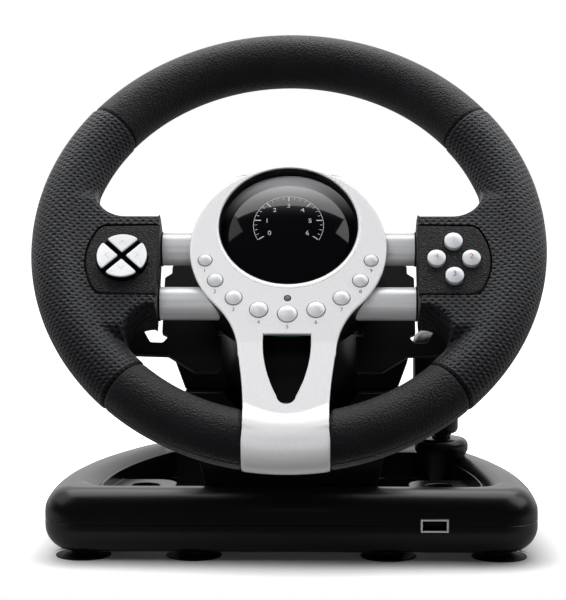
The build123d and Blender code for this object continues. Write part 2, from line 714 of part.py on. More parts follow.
def rumble_weight():
    start = MOTOR_LENGTH + 1.0
    half = rod(WEIGHT_R, start, start + WEIGHT_LENGTH)
    half = half & block(-WEIGHT_R, WEIGHT_R, -WEIGHT_R, 0, start, start + WEIGHT_LENGTH)
    hub = rod(MOTOR_SHAFT_R + 0.8, start, start + WEIGHT_LENGTH)
    axle = rod(MOTOR_SHAFT_R, MOTOR_LENGTH - 3.6, start + WEIGHT_LENGTH)
    return motor_place(half + hub + axle)


# ---- Paddles
def paddle():
    """The right-hand paddle: a wing by the hub, a bar below it and a finger pad behind the grip."""
    foot = PADDLE_FOOT_V
    points = [
        (PADDLE_INNER_U, foot),
        (PADDLE_INNER_U, PADDLE_TOP_V - 10),
        (PADDLE_INNER_U + 9, PADDLE_TOP_V),
        (PADDLE_WING_U, PADDLE_TOP_V),
        (PADDLE_WING_U, PADDLE_TOP_V - PADDLE_TAB_DROP),
        (PADDLE_TAB_U, PADDLE_TOP_V - 1.5 * PADDLE_TAB_DROP),
        (PADDLE_TAB_U, foot + 0.6),
        (PADDLE_WING_U, foot - 1),
        (PADDLE_WING_U + 3, foot - 4.8),
        (PADDLE_WING_U + 9, foot - 4.6),
        (PADDLE_WING_U + 13, foot + 3),
        (PADDLE_WING_U + 16, foot + 26),
        (PADDLE_WING_U + 21, foot + 36),
        (PADDLE_PAD_U - 5, foot + 36),
        (PADDLE_PAD_U, foot + 28),
        (PADDLE_PAD_U, foot + 6),
        (PADDLE_PAD_U - 9, foot - 11),
        (PADDLE_WING_U + 12, foot - 11.6),
        (PADDLE_WING_U, foot - 12),
        (PADDLE_WING_U - 13, foot - 21),
        (PADDLE_PIVOT_U, foot - 21),
        (PADDLE_PIVOT_U, foot),
    ]
    plate = prism(polygon(points, 1.5), PADDLE_W - PADDLE_T, PADDLE_W)
    low = foot + LUG_T + GAP
    high = foot + PIN_LENGTH - LUG_T - GAP
    barrel = Pos(PADDLE_PIVOT_U, 0, PIN_W) * Rot(-90, 0, 0) * rod(PIN_R + 2.0, low, high)
    bore = Pos(PADDLE_PIVOT_U, 0, PIN_W) * Rot(-90, 0, 0) * rod(PIN_R + RUN, low - 30, high + 30)
    for v0, v1 in ((low - LUG_T - 2 * GAP - 1, low), (high, high + LUG_T + 2 * GAP + 1)):
        reach = LUG_T + 2 * GAP + 1
        plate = plate - block(
            PADDLE_INNER_U - 1, PADDLE_PIVOT_U + 4.2, v0, v1, PADDLE_W - PADDLE_T - reach, PADDLE_W + reach
        )
    return plate + barrel - bore


def paddle_pin():
    pin = rod(PIN_R, PADDLE_FOOT_V, PADDLE_FOOT_V + PIN_LENGTH)
    return Pos(PADDLE_PIVOT_U, 0, PIN_W) * Rot(-90, 0, 0) * pin


# ---- Shaft and gears
def steering_shaft():
    shaft = rod(SHAFT_R, -SHAFT_END, HUB_FLOOR) + rod(SHAFT_FLANGE_R, HUB_FLOOR, HUB_FLOOR + SHAFT_FLANGE_T)
    shaft = shaft - rod(SHAFT_BORE_R, -SHAFT_END - 1, HUB_FLOOR + SHAFT_FLANGE_T + 1)
    for screw in flange_screws():
        shaft = shaft - screw
    return shaft


def involute_point(base_r, radius, turn):
    """Point of an involute of the base circle at a radius, turned by an angle."""
    pressure = math.acos(min(1.0, base_r / radius))
    angle = math.tan(pressure) - pressure
    return radius, angle + turn


def gear(teeth, thickness, phase):
    """Spur gear with involute flanks, 20 degree pressure angle; phase turns tooth 0, in radians."""
    pitch_r = GEAR_MODULE * teeth / 2
    base_r = pitch_r * math.cos(math.radians(20))
    root_r, tip_r = pitch_r - 1.25 * GEAR_MODULE, pitch_r + 0.95 * GEAR_MODULE
    half_tooth = (math.pi * GEAR_MODULE / 2 - GEAR_BACKLASH) / 2 / pitch_r
    pressure = math.acos(base_r / pitch_r)
    half_base = half_tooth + math.tan(pressure) - pressure
    start_r = max(base_r, root_r)
    radii = [start_r + (tip_r - start_r) * step / 4 for step in range(5)]
    points = []
    for tooth in range(teeth):
        middle = phase + tooth * 2 * math.pi / teeth
        flank = [involute_point(base_r, radius, -half_base) for radius in radii]
        rise = [(radius, middle + angle) for radius, angle in flank]
        fall = [(radius, middle - angle) for radius, angle in reversed(flank)]
        tooth_points = [(root_r, rise[0][1]), *rise, *fall, (root_r, fall[-1][1])]
        points += [(r * math.cos(a), r * math.sin(a)) for r, a in tooth_points]
    return extrude(polygon(points), thickness)


def shaft_gear():
    wheel = gear(SHAFT_TEETH, GEAR_T, 0.0) - rod(SHAFT_R, -1, GEAR_T + 1)
    return Pos(0, 0, -GEAR_BACK) * wheel


def pot_gear():
    """The potentiometer's gear, with a gap facing the shaft gear's tooth, and its short shaft."""
    wheel = gear(POT_TEETH, GEAR_T, math.pi + math.pi / POT_TEETH)
    axle = rod(POT_SHAFT_R, -(POT_BACK - GEAR_BACK) + 1.0, GEAR_T)
    return Pos(POT_U, 0, -GEAR_BACK) * (wheel + axle)


def pot_body():
    body = rod(POT_R, -POT_BACK - GAP, -POT_FRONT, POT_U)
    return body - rod(POT_SHAFT_R + RUN, -POT_BACK + 0.5, -POT_FRONT + 1, POT_U)


def bearing(start):
    flange = rod(BEARING_R + 1.2, -start, -start + 1.5)
    return rod(BEARING_R, -start - BEARING_LENGTH + 1.5, -start) + flange - rod(
        SHAFT_R + RUN, -start - BEARING_LENGTH, -start + 2
    )


def coil(radius, wire, pitch, turns):
    path = Helix(pitch, pitch * turns, radius)
    section = Plane(origin=path @ 0, z_dir=path % 0) * Circle(wire)
    return sweep(section, path, is_frenet=True)


def centring_spring():
    length = SPRING_PITCH * SPRING_TURNS
    return Pos(0, 0, -SPRING_START - length - SPRING_WIRE_R) * coil(
        SPRING_COIL_R, SPRING_WIRE_R, SPRING_PITCH, SPRING_TURNS
    )


# ---- Column
def head(inset):
    """The column's head: the crossing of its front view and its side view, both moved in by inset."""
    half, half_top, half_foot = HEAD_W / 2, HEAD_TOP_W / 2, PEDESTAL_TOP_W / 2
    shoulder = HEAD_LINE - HEAD_SHOULDER
    front_view = [
        (-half_foot, HEAD_BOTTOM),
        (half_foot, HEAD_BOTTOM),
        (half, shoulder),
        (half_top, HEAD_TOP),
        (-half_top, HEAD_TOP),
        (-half, shoulder),
    ]
    back = HEAD_FRONT_Y + HEAD_LENGTH
    side_view = [
        (HEAD_FRONT_Y, HEAD_BOTTOM),
        (back, HEAD_BOTTOM),
        (back, HEAD_BOTTOM + 0.3 * (HEAD_TOP - HEAD_BOTTOM)),
        (HEAD_FRONT_Y + HEAD_LENGTH / 2, HEAD_TOP),
        (HEAD_FRONT_Y + 6.0, HEAD_TOP),
        (HEAD_FRONT_Y, HEAD_TOP - 6.0),
    ]
    front_face = polygon(front_view)
    side_face = polygon(side_view)
    if inset:
        front_face = offset(front_face, -inset, kind=Kind.INTERSECTION)
        side_face = offset(side_face, -inset, kind=Kind.INTERSECTION)
    upper = front_face.vertices().sort_by(Axis.Y)[2:]
    front_face = fillet(upper, HEAD_ROUND - inset)
    across = extrude(Plane.XZ * front_face, -(back + 1))
    along = extrude(Plane.YZ * side_face, HEAD_W, both=True)
    return across & along


def pedestal_section(z, inset):
    share = (z - DECK_TOP) / (HEAD_BOTTOM - DECK_TOP)
    head_back = HEAD_FRONT_Y + HEAD_LENGTH
    width = PEDESTAL_FOOT_W + share * (PEDESTAL_TOP_W - PEDESTAL_FOOT_W) - 2 * inset
    front = PEDESTAL_FOOT_Y + share * (PEDESTAL_TOP_Y - PEDESTAL_FOOT_Y) + inset
    back = PEDESTAL_BACK_Y + share * (head_back - PEDESTAL_BACK_Y) - inset
    return Plane.XY.offset(z) * Pos(0, (front + back) / 2) * Rectangle(width, back - front)


def column_lower_shell():
    outer = loft([pedestal_section(DECK_TOP, 0), pedestal_section(HEAD_BOTTOM, 0)])
    foot, ceiling = DECK_TOP - 1, HEAD_BOTTOM - WALL
    shell = outer - loft([pedestal_section(foot, WALL), pedestal_section(ceiling, WALL)])
    inner_w, inner_back = PEDESTAL_TOP_W - 4 * WALL, HEAD_FRONT_Y + HEAD_LENGTH - 3 * WALL
    shell = shell - block(
        -inner_w / 2, inner_w / 2, HEAD_FRONT_Y + WALL, inner_back, ceiling - 1, HEAD_BOTTOM + 1
    )
    half, half_foot = PANEL_CUT_W / 2, PANEL_CUT_FOOT_W / 2
    low = HEAD_BOTTOM - PANEL_CUT_DEPTH
    cut = [(-half, HEAD_BOTTOM + 1), (half, HEAD_BOTTOM + 1), (half_foot, low), (-half_foot, low)]
    shell = shell - extrude(Plane.XZ * polygon(cut), -(HEAD_FRONT_Y + WALL))
    return shell - on_wheel(rod(BARREL_R + FIT, -BARREL_END - FIT, -BARREL_START))


def column_upper_shell():
    hollow = head(WALL)
    low = HEAD_BOTTOM - WALL
    inner = PEDESTAL_TOP_W / 2 - 2 * WALL
    back = HEAD_FRONT_Y + HEAD_LENGTH - 3 * WALL
    hollow = hollow + block(-inner, inner, HEAD_FRONT_Y + WALL, back, low, HEAD_BOTTOM + 2 * WALL)
    shell = head(0) - hollow
    shell = shell + on_wheel(rod(BARREL_R, -BARREL_END, -BARREL_START))
    shell = shell - on_wheel(rod(BARREL_R - WALL, -BARREL_END - 1, -BARREL_START + 1))
    for start in (FRONT_WEB, REAR_WEB):
        web = pipe(BARREL_R - WALL / 2, BEARING_R, -start - WEB_T, -start)
        shell = shell + on_wheel(web)
    return shell


# ---- Base
def loop_side_x(inset, y):
    """How far the loop's bowed side, moved in by inset, is from the middle of the base."""
    radius = LOOP_SIDE_R - inset
    return BASE_W / 2 - LOOP_SIDE_R + math.sqrt(radius**2 - (y - LOOP_WIDEST_Y) ** 2)


def loop_outline(inset, front_r, rear_r):
    """Plan of the loop moved in by inset: straight front and rear, and bowed sides."""
    front, rear = inset, BASE_DEPTH - inset
    side = [(loop_side_x(inset, y), y) for y in (front, (front + rear) / 2, rear)]
    right = ThreePointArc(*side)
    left = mirror(right, about=Plane.YZ)
    front_x, rear_x = side[0][0], side[2][0]
    edges = [Line((-front_x, front), (front_x, front)), right, Line((rear_x, rear), (-rear_x, rear)), left]
    face = make_face(edges)
    face = fillet(face.vertices().sort_by(Axis.Y)[:2], front_r)
    return fillet(face.vertices().sort_by(Axis.Y)[-2:], rear_r)


def loop_inner(inset):
    return loop_outline(LOOP_TUBE_W - inset, LOOP_INNER_R + inset, LOOP_INNER_R + inset)


def loop_ring(inset):
    """The loop's thick tube as a solid with round edges, moved in by inset."""
    face = loop_outline(inset, LOOP_FRONT_R - inset, LOOP_REAR_R - inset) - loop_inner(inset)
    ring = prism(face, CUP_HEIGHT + inset, LOOP_TOP - inset)
    edges = [e for e in ring.edges() if abs(e.center().Z - e.start_point().Z) < 0.01]
    edges = [e for e in edges if abs(e.end_point().Z - e.start_point().Z) < 0.01]
    return fillet(edges, (LOOP_TUBE_W - LOOP_FLAT) / 2 - inset)


def opening_face():
    """The opening on the right of the deck, with a rounded corner where deck and rear bar meet."""
    face = loop_inner(0) & Pos((DECK_X + BASE_W) / 2, BASE_DEPTH / 2) * Rectangle(
        BASE_W - DECK_X, BASE_DEPTH
    )
    inner = [v for v in face.vertices() if abs(v.X - DECK_X) < 0.01]
    rear = sorted(inner, key=lambda v: v.Y)[-1:]
    rear_w = loop_side_x(LOOP_TUBE_W, BASE_DEPTH - LOOP_TUBE_W) - DECK_X
    return fillet(rear, min(DECK_CORNER_R, rear_w - LOOP_INNER_R))


def base_solid():
    """Outside of the base: the loop, and the deck that carries the column."""
    right = opening_face()
    web = loop_inner(1.0) - right - mirror(right, about=Plane.YZ)
    middle = LOOP_TUBE_W / 2
    deck = block(-DECK_X, DECK_X, middle, BASE_DEPTH - middle, CUP_HEIGHT, DECK_TOP)
    low = CUP_HEIGHT + LOOP_TUBE_W / 8
    return loop_ring(0) + prism(web, low, DECK_TOP) + deck


def base_hollow():
    middle = LOOP_TUBE_W / 2
    inner = DECK_X - WALL
    deck = block(-inner, inner, middle, BASE_DEPTH - middle, CUP_HEIGHT + WALL, DECK_TOP - WALL)
    return loop_ring(WALL) + deck


def usb_cut():
    half_w, half_h = USB_W / 2 + FIT, USB_H / 2 + FIT
    return block(USB_X - half_w, USB_X + half_w, -1, WALL + 6, SEAM_Z - half_h, SEAM_Z + half_h)


def pedal_cut():
    half_w, half_h = PEDAL_W / 2, PEDAL_H / 2
    x0, x1 = PEDAL_X - half_w, PEDAL_X + half_w
    return block(x0, x1, BASE_DEPTH - PEDAL_DEPTH, BASE_DEPTH + 1, SEAM_Z - half_h, SEAM_Z + half_h)


def gland_place(shape):
    return Pos(0, BASE_DEPTH, SEAM_Z) * Rot(90, 0, 0) * shape


def tab_plates():
    top = LOOP_TOP - TAB_TOP_DROP
    plan = Pos((TAB_INNER_X + BASE_W) / 2, TAB_BACK_Y / 2) * Rectangle(BASE_W - TAB_INNER_X, TAB_BACK_Y)
    plan = fillet(plan.vertices().sort_by(Axis.X)[:2].sort_by(Axis.Y)[-1:], TAB_CORNER_R)
    plan = plan & loop_inner(1.5)
    plate = prism(plan, top - TAB_T, top) - rod(TAB_HOLE_R, 0, LOOP_TOP, TAB_HOLE_X, TAB_HOLE_Y)
    return both_sides(plate)


def base_screw_places():
    middle = LOOP_TUBE_W / 2
    inner, outer = CUP_INNER_X - SCREW_FROM_INNER_CUP, CUP_OUTER_X - SCREW_FROM_OUTER_CUP
    spots = ((inner, middle), (outer, middle), (SCREW_REAR_X, BASE_DEPTH - middle))
    return [(side * x, y) for x, y in spots for side in (-1, 1)]


def base_upper_shell():
    reach = BASE_W
    shell = base_solid() - base_hollow()
    shell = shell & block(-reach, reach, -reach, reach, SEAM_Z, LOOP_TOP)
    shell = fuse([shell, *tab_plates()])
    for x, y in base_screw_places():
        shell = shell + pipe(SCREW_POST_R, SCREW_R, SEAM_Z, LOOP_TOP - WALL, x, y)
    harness = rod(6.0, DECK_TOP - WALL - 1, DECK_TOP + 1, 0, (PEDESTAL_FOOT_Y + PEDESTAL_BACK_Y) / 2)
    shell = shell - harness - usb_cut() - pedal_cut()
    return shell - gland_place(rod(GLAND_R, -1, 2 * LOOP_TUBE_W / 3))


def base_lower_shell():
    reach = BASE_W
    shell = base_solid() - base_hollow()
    shell = shell & block(-reach, reach, -reach, reach, 0, SEAM_Z)
    for x, y in base_screw_places():
        shell = shell + rod(SCREW_POST_R, CUP_HEIGHT + WALL / 2, SEAM_Z, x, y)
        shell = shell - rod(SCREW_R, 0, SEAM_Z + 1, x, y)
        shell = shell - rod(SCREW_HEAD_R, 0, CUP_HEIGHT + SCREW_HEAD_T, x, y)
    for x, y in cup_places():
        shell = shell + rod(CUP_NECK_R + 0.6, CUP_HEIGHT, CUP_SEAT_TOP, x, y)
        shell = shell - rod(CUP_PLUG_HEAD_R + FIT, CUP_SEAT_TOP, SEAM_Z, x, y)
        shell = shell - rod(CUP_PLUG_R, 0, CUP_SEAT_TOP + 1, x, y)
    shell = shell - usb_cut() - pedal_cut()
    return shell - gland_place(rod(GLAND_R, -1, 2 * LOOP_TUBE_W / 3))


def base_screws():
    screws = []
    for x, y in base_screw_places():
        seat = CUP_HEIGHT + SCREW_HEAD_T
        shank = rod(SCREW_R, seat, SEAM_Z + SCREW_LENGTH, x, y)
        screws.append(shank + rod(SCREW_HEAD_R, seat - SCREW_HEAD_T + 0.4, seat, x, y))
    return Compound(screws)


def cup_places():
    spots = ((CUP_OUTER_X, CUP_FRONT_Y), (CUP_INNER_X, CUP_FRONT_Y), (CUP_REAR_X, CUP_REAR_Y))
    return [(side * x, y) for x, y in spots for side in (-1, 1)]


def suction_cups():
    profile = [
        (0, CUP_SKIRT_H * 0.5),
        (CUP_R - CUP_RIM_T, 0),
        (CUP_R, 0),
        (CUP_R, 0.5),
        (CUP_NECK_R, CUP_SKIRT_H),
        (CUP_NECK_R, CUP_HEIGHT),
        (CUP_PLUG_R, CUP_HEIGHT),
        (CUP_PLUG_R, CUP_SEAT_TOP),
        (CUP_PLUG_HEAD_R, CUP_SEAT_TOP),
        (CUP_PLUG_R, CUP_SEAT_TOP + 2.0),
        (0, CUP_SEAT_TOP + 2.0),
    ]
    cup = cup_shape(profile)
    return Compound([Pos(x, y) * cup for x, y in cup_places()])


def usb_socket():
    half_w, half_h = USB_W / 2, USB_H / 2
    metal = (USB_W - USB_OPENING_W) / 2 - 0.6
    sleeve_w, sleeve_h = half_w - 0.6, half_h - 0.4
    lip = block(-half_w, half_w, -USB_LIP / 2, USB_LIP / 2, -half_h, half_h)
    sleeve = block(-sleeve_w, sleeve_w, USB_LIP / 2, USB_DEPTH, -sleeve_h, sleeve_h)
    opening = block(
        -USB_OPENING_W / 2, USB_OPENING_W / 2, -1, USB_DEPTH - metal, -USB_OPENING_H / 2, USB_OPENING_H / 2
    )
    tongue = block(-4.8, 4.8, 1.2, USB_DEPTH - metal, 0.2, 2.0)
    return Pos(USB_X, 0, SEAM_Z) * (lip + sleeve - opening + tongue)


def pedal_socket():
    half_w, half_h = PEDAL_W / 2 - FIT, PEDAL_H / 2 - FIT
    body = block(-half_w, half_w, -PEDAL_DEPTH + FIT, -0.5, -half_h, half_h)
    plug_hole = block(-half_w + 1.2, half_w - 1.2, -PEDAL_DEPTH + 3.0, 0, -half_h + 1.2, half_h - 2.4)
    return Pos(PEDAL_X, BASE_DEPTH, SEAM_Z) * (body - plug_hole)


def cord_gland():
    body = rod(GLAND_R, -GLAND_LIP / 2, GLAND_LENGTH) + rod(GLAND_R + 1.5, -GLAND_LIP, 0)
    return gland_place(body - rod(GLAND_BORE_R, -GLAND_LIP - 1, GLAND_LENGTH + 1))


def main_board():
    middle = BASE_DEPTH / 2
    low = CUP_HEIGHT + WALL + 4.0
    half_w, half_d = MAIN_BOARD_W / 2, MAIN_BOARD_D / 2
    board = block(-half_w, half_w, middle - half_d, middle + half_d, low, low + BOARD_T)
    chip = block(-8, 8, middle - 8, middle + 8, low + BOARD_T, low + BOARD_T + 1.8)
    for sx in (-1, 1):
        for sy in (-1, 1):
            leg = rod(2.5, CUP_HEIGHT + WALL, low, sx * (half_w - 4), middle + sy * (half_d - 4))
            board = board + leg
    return board + chip


# ---- Shifter
def shifter_boss():
    """A cone that grows out of the loop's side and ends in a cup, in which the lever rocks."""
    rim = BOSS_TOP - BOSS_RIM_H
    profile = [(0, SEAM_Z), (BOSS_FOOT_R, SEAM_Z), (BOSS_R, rim), (BOSS_R, BOSS_TOP), (0, BOSS_TOP)]
    boss = cup_shape(profile)
    boss = Pos(SHIFTER_X, SHIFTER_Y) * fillet(boss.edges().sort_by(Axis.Z)[-1:], BOSS_EDGE_R)
    inner_r = BOSS_R - BOSS_WALL
    half = LEVER_R + 1.0
    swing = half + (PIVOT_DROP + 1) * math.tan(math.radians(LEVER_THROW))
    floor = PIVOT_Z - LEVER_R - 2.0
    slot = block(-half, half, -swing, swing, PIVOT_Z, BOSS_TOP + 1)
    well = block(-half, half, -inner_r / 2 - 1, inner_r / 2 + 1, floor, PIVOT_Z + 1)
    boss = boss - Pos(SHIFTER_X, SHIFTER_Y) * (slot + well)
    trunnion = Pos(SHIFTER_X, SHIFTER_Y, PIVOT_Z) * Rot(0, 90, 0)
    boss = boss - trunnion * rod(TRUNNION_R + RUN, -half - 3, half + 3)
    return (boss - base_solid()).solids().sort_by(SortBy.VOLUME)[-1]


def shift_lever():
    half = LEVER_R + 1.0
    stalk = rod(LEVER_R, PIVOT_Z - LEVER_R, BOSS_TOP + KNOB_LIFT + KNOB_SEAT)
    hub = Pos(0, 0, PIVOT_Z) * Rot(0, 90, 0) * rod(LEVER_R + 0.4, -half + GAP, half - GAP)
    trunnion = Pos(0, 0, PIVOT_Z) * Rot(0, 90, 0) * rod(TRUNNION_R, -half - 2.6, half + 2.6)
    collar_z = BOSS_TOP + 1.7
    collar = rod(LEVER_COLLAR_R, collar_z, collar_z + LEVER_COLLAR_T)
    return Pos(SHIFTER_X, SHIFTER_Y) * (stalk + hub + trunnion + collar)


def shift_knob():
    base_z = BOSS_TOP + KNOB_LIFT
    body = Pos(KNOB_SHIFT, 0, base_z + KNOB_H / 2) * Box(KNOB_W, KNOB_D, KNOB_H)
    body = fillet(body.edges().filter_by(Axis.Z), KNOB_W * 0.36)
    body = fillet(body.faces().sort_by(Axis.Z)[-1].edges(), KNOB_W * 0.3)
    body = chamfer(body.faces().sort_by(Axis.Z)[0].edges(), KNOB_W * 0.08)
    seat = rod(LEVER_R, base_z - 1, base_z + KNOB_SEAT)
    return Pos(SHIFTER_X, SHIFTER_Y) * (body - seat)


# ---- The whole object
def on_wheel(shape):
    return wheel_plane.location * shape


def mirrored(shape):
    return mirror(shape, about=Plane.YZ)


def wheel_nodes():
    """Every piece that turns with the rim, in the wheel's own frame."""
    front, rear = rim_core()
    right_grip = grip()
    nodes = {
        "rim_front_shell": front,
        "rim_rear_shell": rear,
        "rim_wrap_top": ring_segment(TUBE_R, CORE_R, TOP_WRAP_START, 180 - TOP_WRAP_START),
        "rim_wraps_lower": Compound(both_sides(lower_wrap())),
        "grip_right": right_grip,
        "grip_left": mirrored(right_grip),
        "pad_right": pad_right(),
        "pad_left": pad_left(),
        "faceplate": faceplate(),
        "hub_rear_cover": hub_rear_cover(),
        "dome_lens": dome_lens(),
        "dome_bezel": dome_bezel(),
        "status_light": rod(LED_R, PLATE_BACK - 1.0, PLATE_W + 0.3, 0, LED_V),
        "spoke_tubes": spoke_tubes(),
        "spoke_collars": spoke_collars(),
        "wheel_boards": wheel_boards(),
        "button_mats": button_mats(),
        "rumble_motors": rumble_motors(),
        "rumble_weight_right": rumble_weight(),
        "rumble_weight_left": mirrored(rumble_weight()),
        "paddle_right": paddle(),
        "paddle_left": mirrored(paddle()),
        "paddle_pins": Compound(both_sides(paddle_pin())),
        "steering_shaft": steering_shaft(),
        "shaft_gear": shaft_gear(),
        "wheel_screws": wheel_screws(),
        "shaft_bearings": Compound([bearing(FRONT_WEB), bearing(REAR_WEB)]),
        "centring_spring": centring_spring(),
        "pot_body": pot_body(),
        "pot_gear": pot_gear(),
    }
    for number, place in enumerate(button_places(), 1):
        nodes[f"hub_button_{number}"] = hub_button(place)
    for name, angle in {"right": 0, "up": 90, "left": 180, "down": 270}.items():
        nodes[f"dpad_{name}"] = dpad_key(angle)
    for name, place in ACTION_OFFSETS.items():
        nodes[f"action_{name}"] = action_button(place)
    return nodes


def base_nodes():
    return {
        "base_upper_shell": base_upper_shell(),
        "base_lower_shell": base_lower_shell(),
        "column_lower_shell": column_lower_shell(),
        "column_upper_shell": column_upper_shell(),
        "main_board": main_board(),
        "usb_socket": usb_socket(),
        "pedal_socket": pedal_socket(),
        "cord_gland": cord_gland(),
        "suction_cups": suction_cups(),
        "base_screws": base_screws(),
        "shifter_boss": shifter_boss(),
        "shift_lever": shift_lever(),
        "shift_knob": shift_knob(),
    }


def main():
    nodes = {name: on_wheel(shape) for name, shape in wheel_nodes().items()}
    nodes |= base_nodes()
    box = Compound(list(nodes.values())).bounding_box()
    to_origin = Pos(-(box.min.X + box.max.X) / 2, -(box.min.Y + box.max.Y) / 2, -box.min.Z)
    os.makedirs("parts", exist_ok=True)
    for name, shape in nodes.items():
        export_step(to_origin * shape, f"parts/{name}.step")
    print(len(nodes), "pieces in a box of", box.size, "moved along Y by", round(to_origin.position.Y, 4))


main()
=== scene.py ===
# %% [markdown]
# # A table-top racing wheel
#
# The CAD model is already in its place when this lesson begins. It has every piece of the wheel at its
# real size, and the joints that let the rim turn, the paddles pull and the buttons go down. What it lacks
# is looks: soft edges, leather, satin paint and gloss. Each step below takes one part of the wheel and
# gives it those.
#
# Lengths are in millimetres while a shape is being worked out, because that is how a maker thinks of it,
# and become metres at the moment a mesh is made.

import json
import math

import bmesh
import bpy
import numpy as np
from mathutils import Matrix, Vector


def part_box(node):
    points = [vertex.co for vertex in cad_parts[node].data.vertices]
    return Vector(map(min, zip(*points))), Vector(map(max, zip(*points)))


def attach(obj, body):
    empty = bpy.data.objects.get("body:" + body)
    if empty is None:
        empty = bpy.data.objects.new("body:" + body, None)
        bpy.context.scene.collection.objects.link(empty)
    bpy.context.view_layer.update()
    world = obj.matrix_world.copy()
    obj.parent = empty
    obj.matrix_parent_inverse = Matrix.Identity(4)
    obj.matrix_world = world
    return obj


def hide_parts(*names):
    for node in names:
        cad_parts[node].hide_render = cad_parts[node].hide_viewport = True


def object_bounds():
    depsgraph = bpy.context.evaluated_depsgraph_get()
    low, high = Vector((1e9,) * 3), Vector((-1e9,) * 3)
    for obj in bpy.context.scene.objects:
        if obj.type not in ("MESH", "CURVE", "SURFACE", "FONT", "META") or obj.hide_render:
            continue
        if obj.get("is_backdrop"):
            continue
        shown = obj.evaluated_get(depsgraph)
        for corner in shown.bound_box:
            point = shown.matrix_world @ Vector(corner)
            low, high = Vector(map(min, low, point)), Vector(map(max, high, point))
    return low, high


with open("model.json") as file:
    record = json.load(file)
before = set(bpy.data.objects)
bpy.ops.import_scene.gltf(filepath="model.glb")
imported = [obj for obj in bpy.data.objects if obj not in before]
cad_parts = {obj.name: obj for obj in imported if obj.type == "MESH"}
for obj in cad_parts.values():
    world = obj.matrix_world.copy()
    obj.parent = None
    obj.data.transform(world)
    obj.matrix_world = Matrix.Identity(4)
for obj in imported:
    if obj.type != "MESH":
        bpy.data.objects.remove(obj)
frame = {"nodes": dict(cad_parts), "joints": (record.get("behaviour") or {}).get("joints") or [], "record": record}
cad_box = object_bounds()
NODES = frame["nodes"]
JOINTS = {joint["name"]: joint for joint in frame["joints"]}
MM = 0.001

# %% [markdown]
# The rim leans back, so its pieces are easiest to draw in a frame of their own: u points right, v points
# up in the plane of the rim, and w points at the driver. The joint that turns the rim says where this
# frame is: its point is the centre of the rim and its axis is w.

# %% The wheel's own frame
CENTRE = np.array(JOINTS["wheel_turn"]["pos_m"]) / MM
AXIS_W = np.array(JOINTS["wheel_turn"]["axis"])
AXIS_U = np.array([1.0, 0.0, 0.0])
AXIS_V = np.cross(AXIS_W, AXIS_U)


def on_wheel(u, v, w):
    """Points in the row frame for arrays of u, v and w: centre + u U + v V + w W."""
    u, v, w = np.broadcast_arrays(u, v, w)
    return CENTRE + u[..., None] * AXIS_U + v[..., None] * AXIS_V + w[..., None] * AXIS_W


def raised(plan, w):
    """Points in the row frame for points (u, v) at heights w."""
    return on_wheel(plan[..., 0], plan[..., 1], w)


def node_points(node):
    """The corner points of a CAD node's mesh, in millimetres."""
    flat = np.empty(len(NODES[node].data.vertices) * 3)
    NODES[node].data.vertices.foreach_get("co", flat)
    return flat.reshape(-1, 3) / MM


def wheel_box(node):
    """Lowest and highest u, v and w of a CAD node, in millimetres."""
    own = (node_points(node) - CENTRE) @ np.array([AXIS_U, AXIS_V, AXIS_W]).T
    return own.min(0), own.max(0)


print("rim centre", CENTRE.round(2), "leaning", round(math.degrees(math.asin(AXIS_W[2])), 2), "degrees")

# %% [markdown]
# ## The camera
#
# The wheel is seen from straight in front through a long lens, from a little above the middle of the rim
# and looking slightly down. A long lens keeps the near rim and the far column close to their true
# proportions.

# %% Camera
BASE_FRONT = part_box("base_upper_shell")[0].y
CAMERA_PLACE = (0.0182, BASE_FRONT - 1.0498, 0.2290)
CAMERA_YAW = math.radians(1.2)
CAMERA_PITCH = math.radians(4.95)

camera_data = bpy.data.cameras.new("camera")
camera_data.sensor_fit = "VERTICAL"
camera_data.sensor_height = 36.0
camera_data.lens = 123.3
camera = bpy.data.objects.new("camera", camera_data)
camera.location = CAMERA_PLACE
camera.rotation_euler = (math.pi / 2 - CAMERA_PITCH, 0.0, CAMERA_YAW)
bpy.context.scene.collection.objects.link(camera)
bpy.context.scene.camera = camera
bpy.context.scene.view_settings.view_transform = "Standard"
print("camera at", [round(c, 3) for c in camera.location])

# %% [markdown]
# ## Finishes
#
# A finish is a material made of nodes. Three small classes keep its recipe readable. `Number` wraps a
# value that varies over the surface, and ordinary arithmetic on it adds the Math nodes. `Nodes` adds any
# other node. `Finish` makes the material, and holds the few settings that are the same all over.

# %% Numbers and finishes
class Number:
    """A value inside a material. Arithmetic on it adds Math nodes."""

    def __init__(self, nodes, socket):
        self.nodes, self.socket = nodes, socket

    def maths(self, operation, *others, flip=False):
        terms = dict(enumerate([*others, self] if flip else [self, *others]))
        return self.nodes.number(self.nodes.node("ShaderNodeMath", {"operation": operation}, terms))

    def __add__(self, other):
        return self.maths("ADD", other)

    def __sub__(self, other):
        return self.maths("SUBTRACT", other)

    def __rsub__(self, other):
        return self.maths("SUBTRACT", other, flip=True)

    def __mul__(self, other):
        return self.maths("MULTIPLY", other)

    def __truediv__(self, other):
        return self.maths("DIVIDE", other)

    __radd__ = __add__
    __rmul__ = __mul__

    def step(self, low, high):
        """0 below low, 1 above high and smooth in between."""
        settings, inputs = {"interpolation_type": "SMOOTHSTEP"}, {0: self, 1: low, 2: high}
        return self.nodes.number(self.nodes.node("ShaderNodeMapRange", settings, inputs))


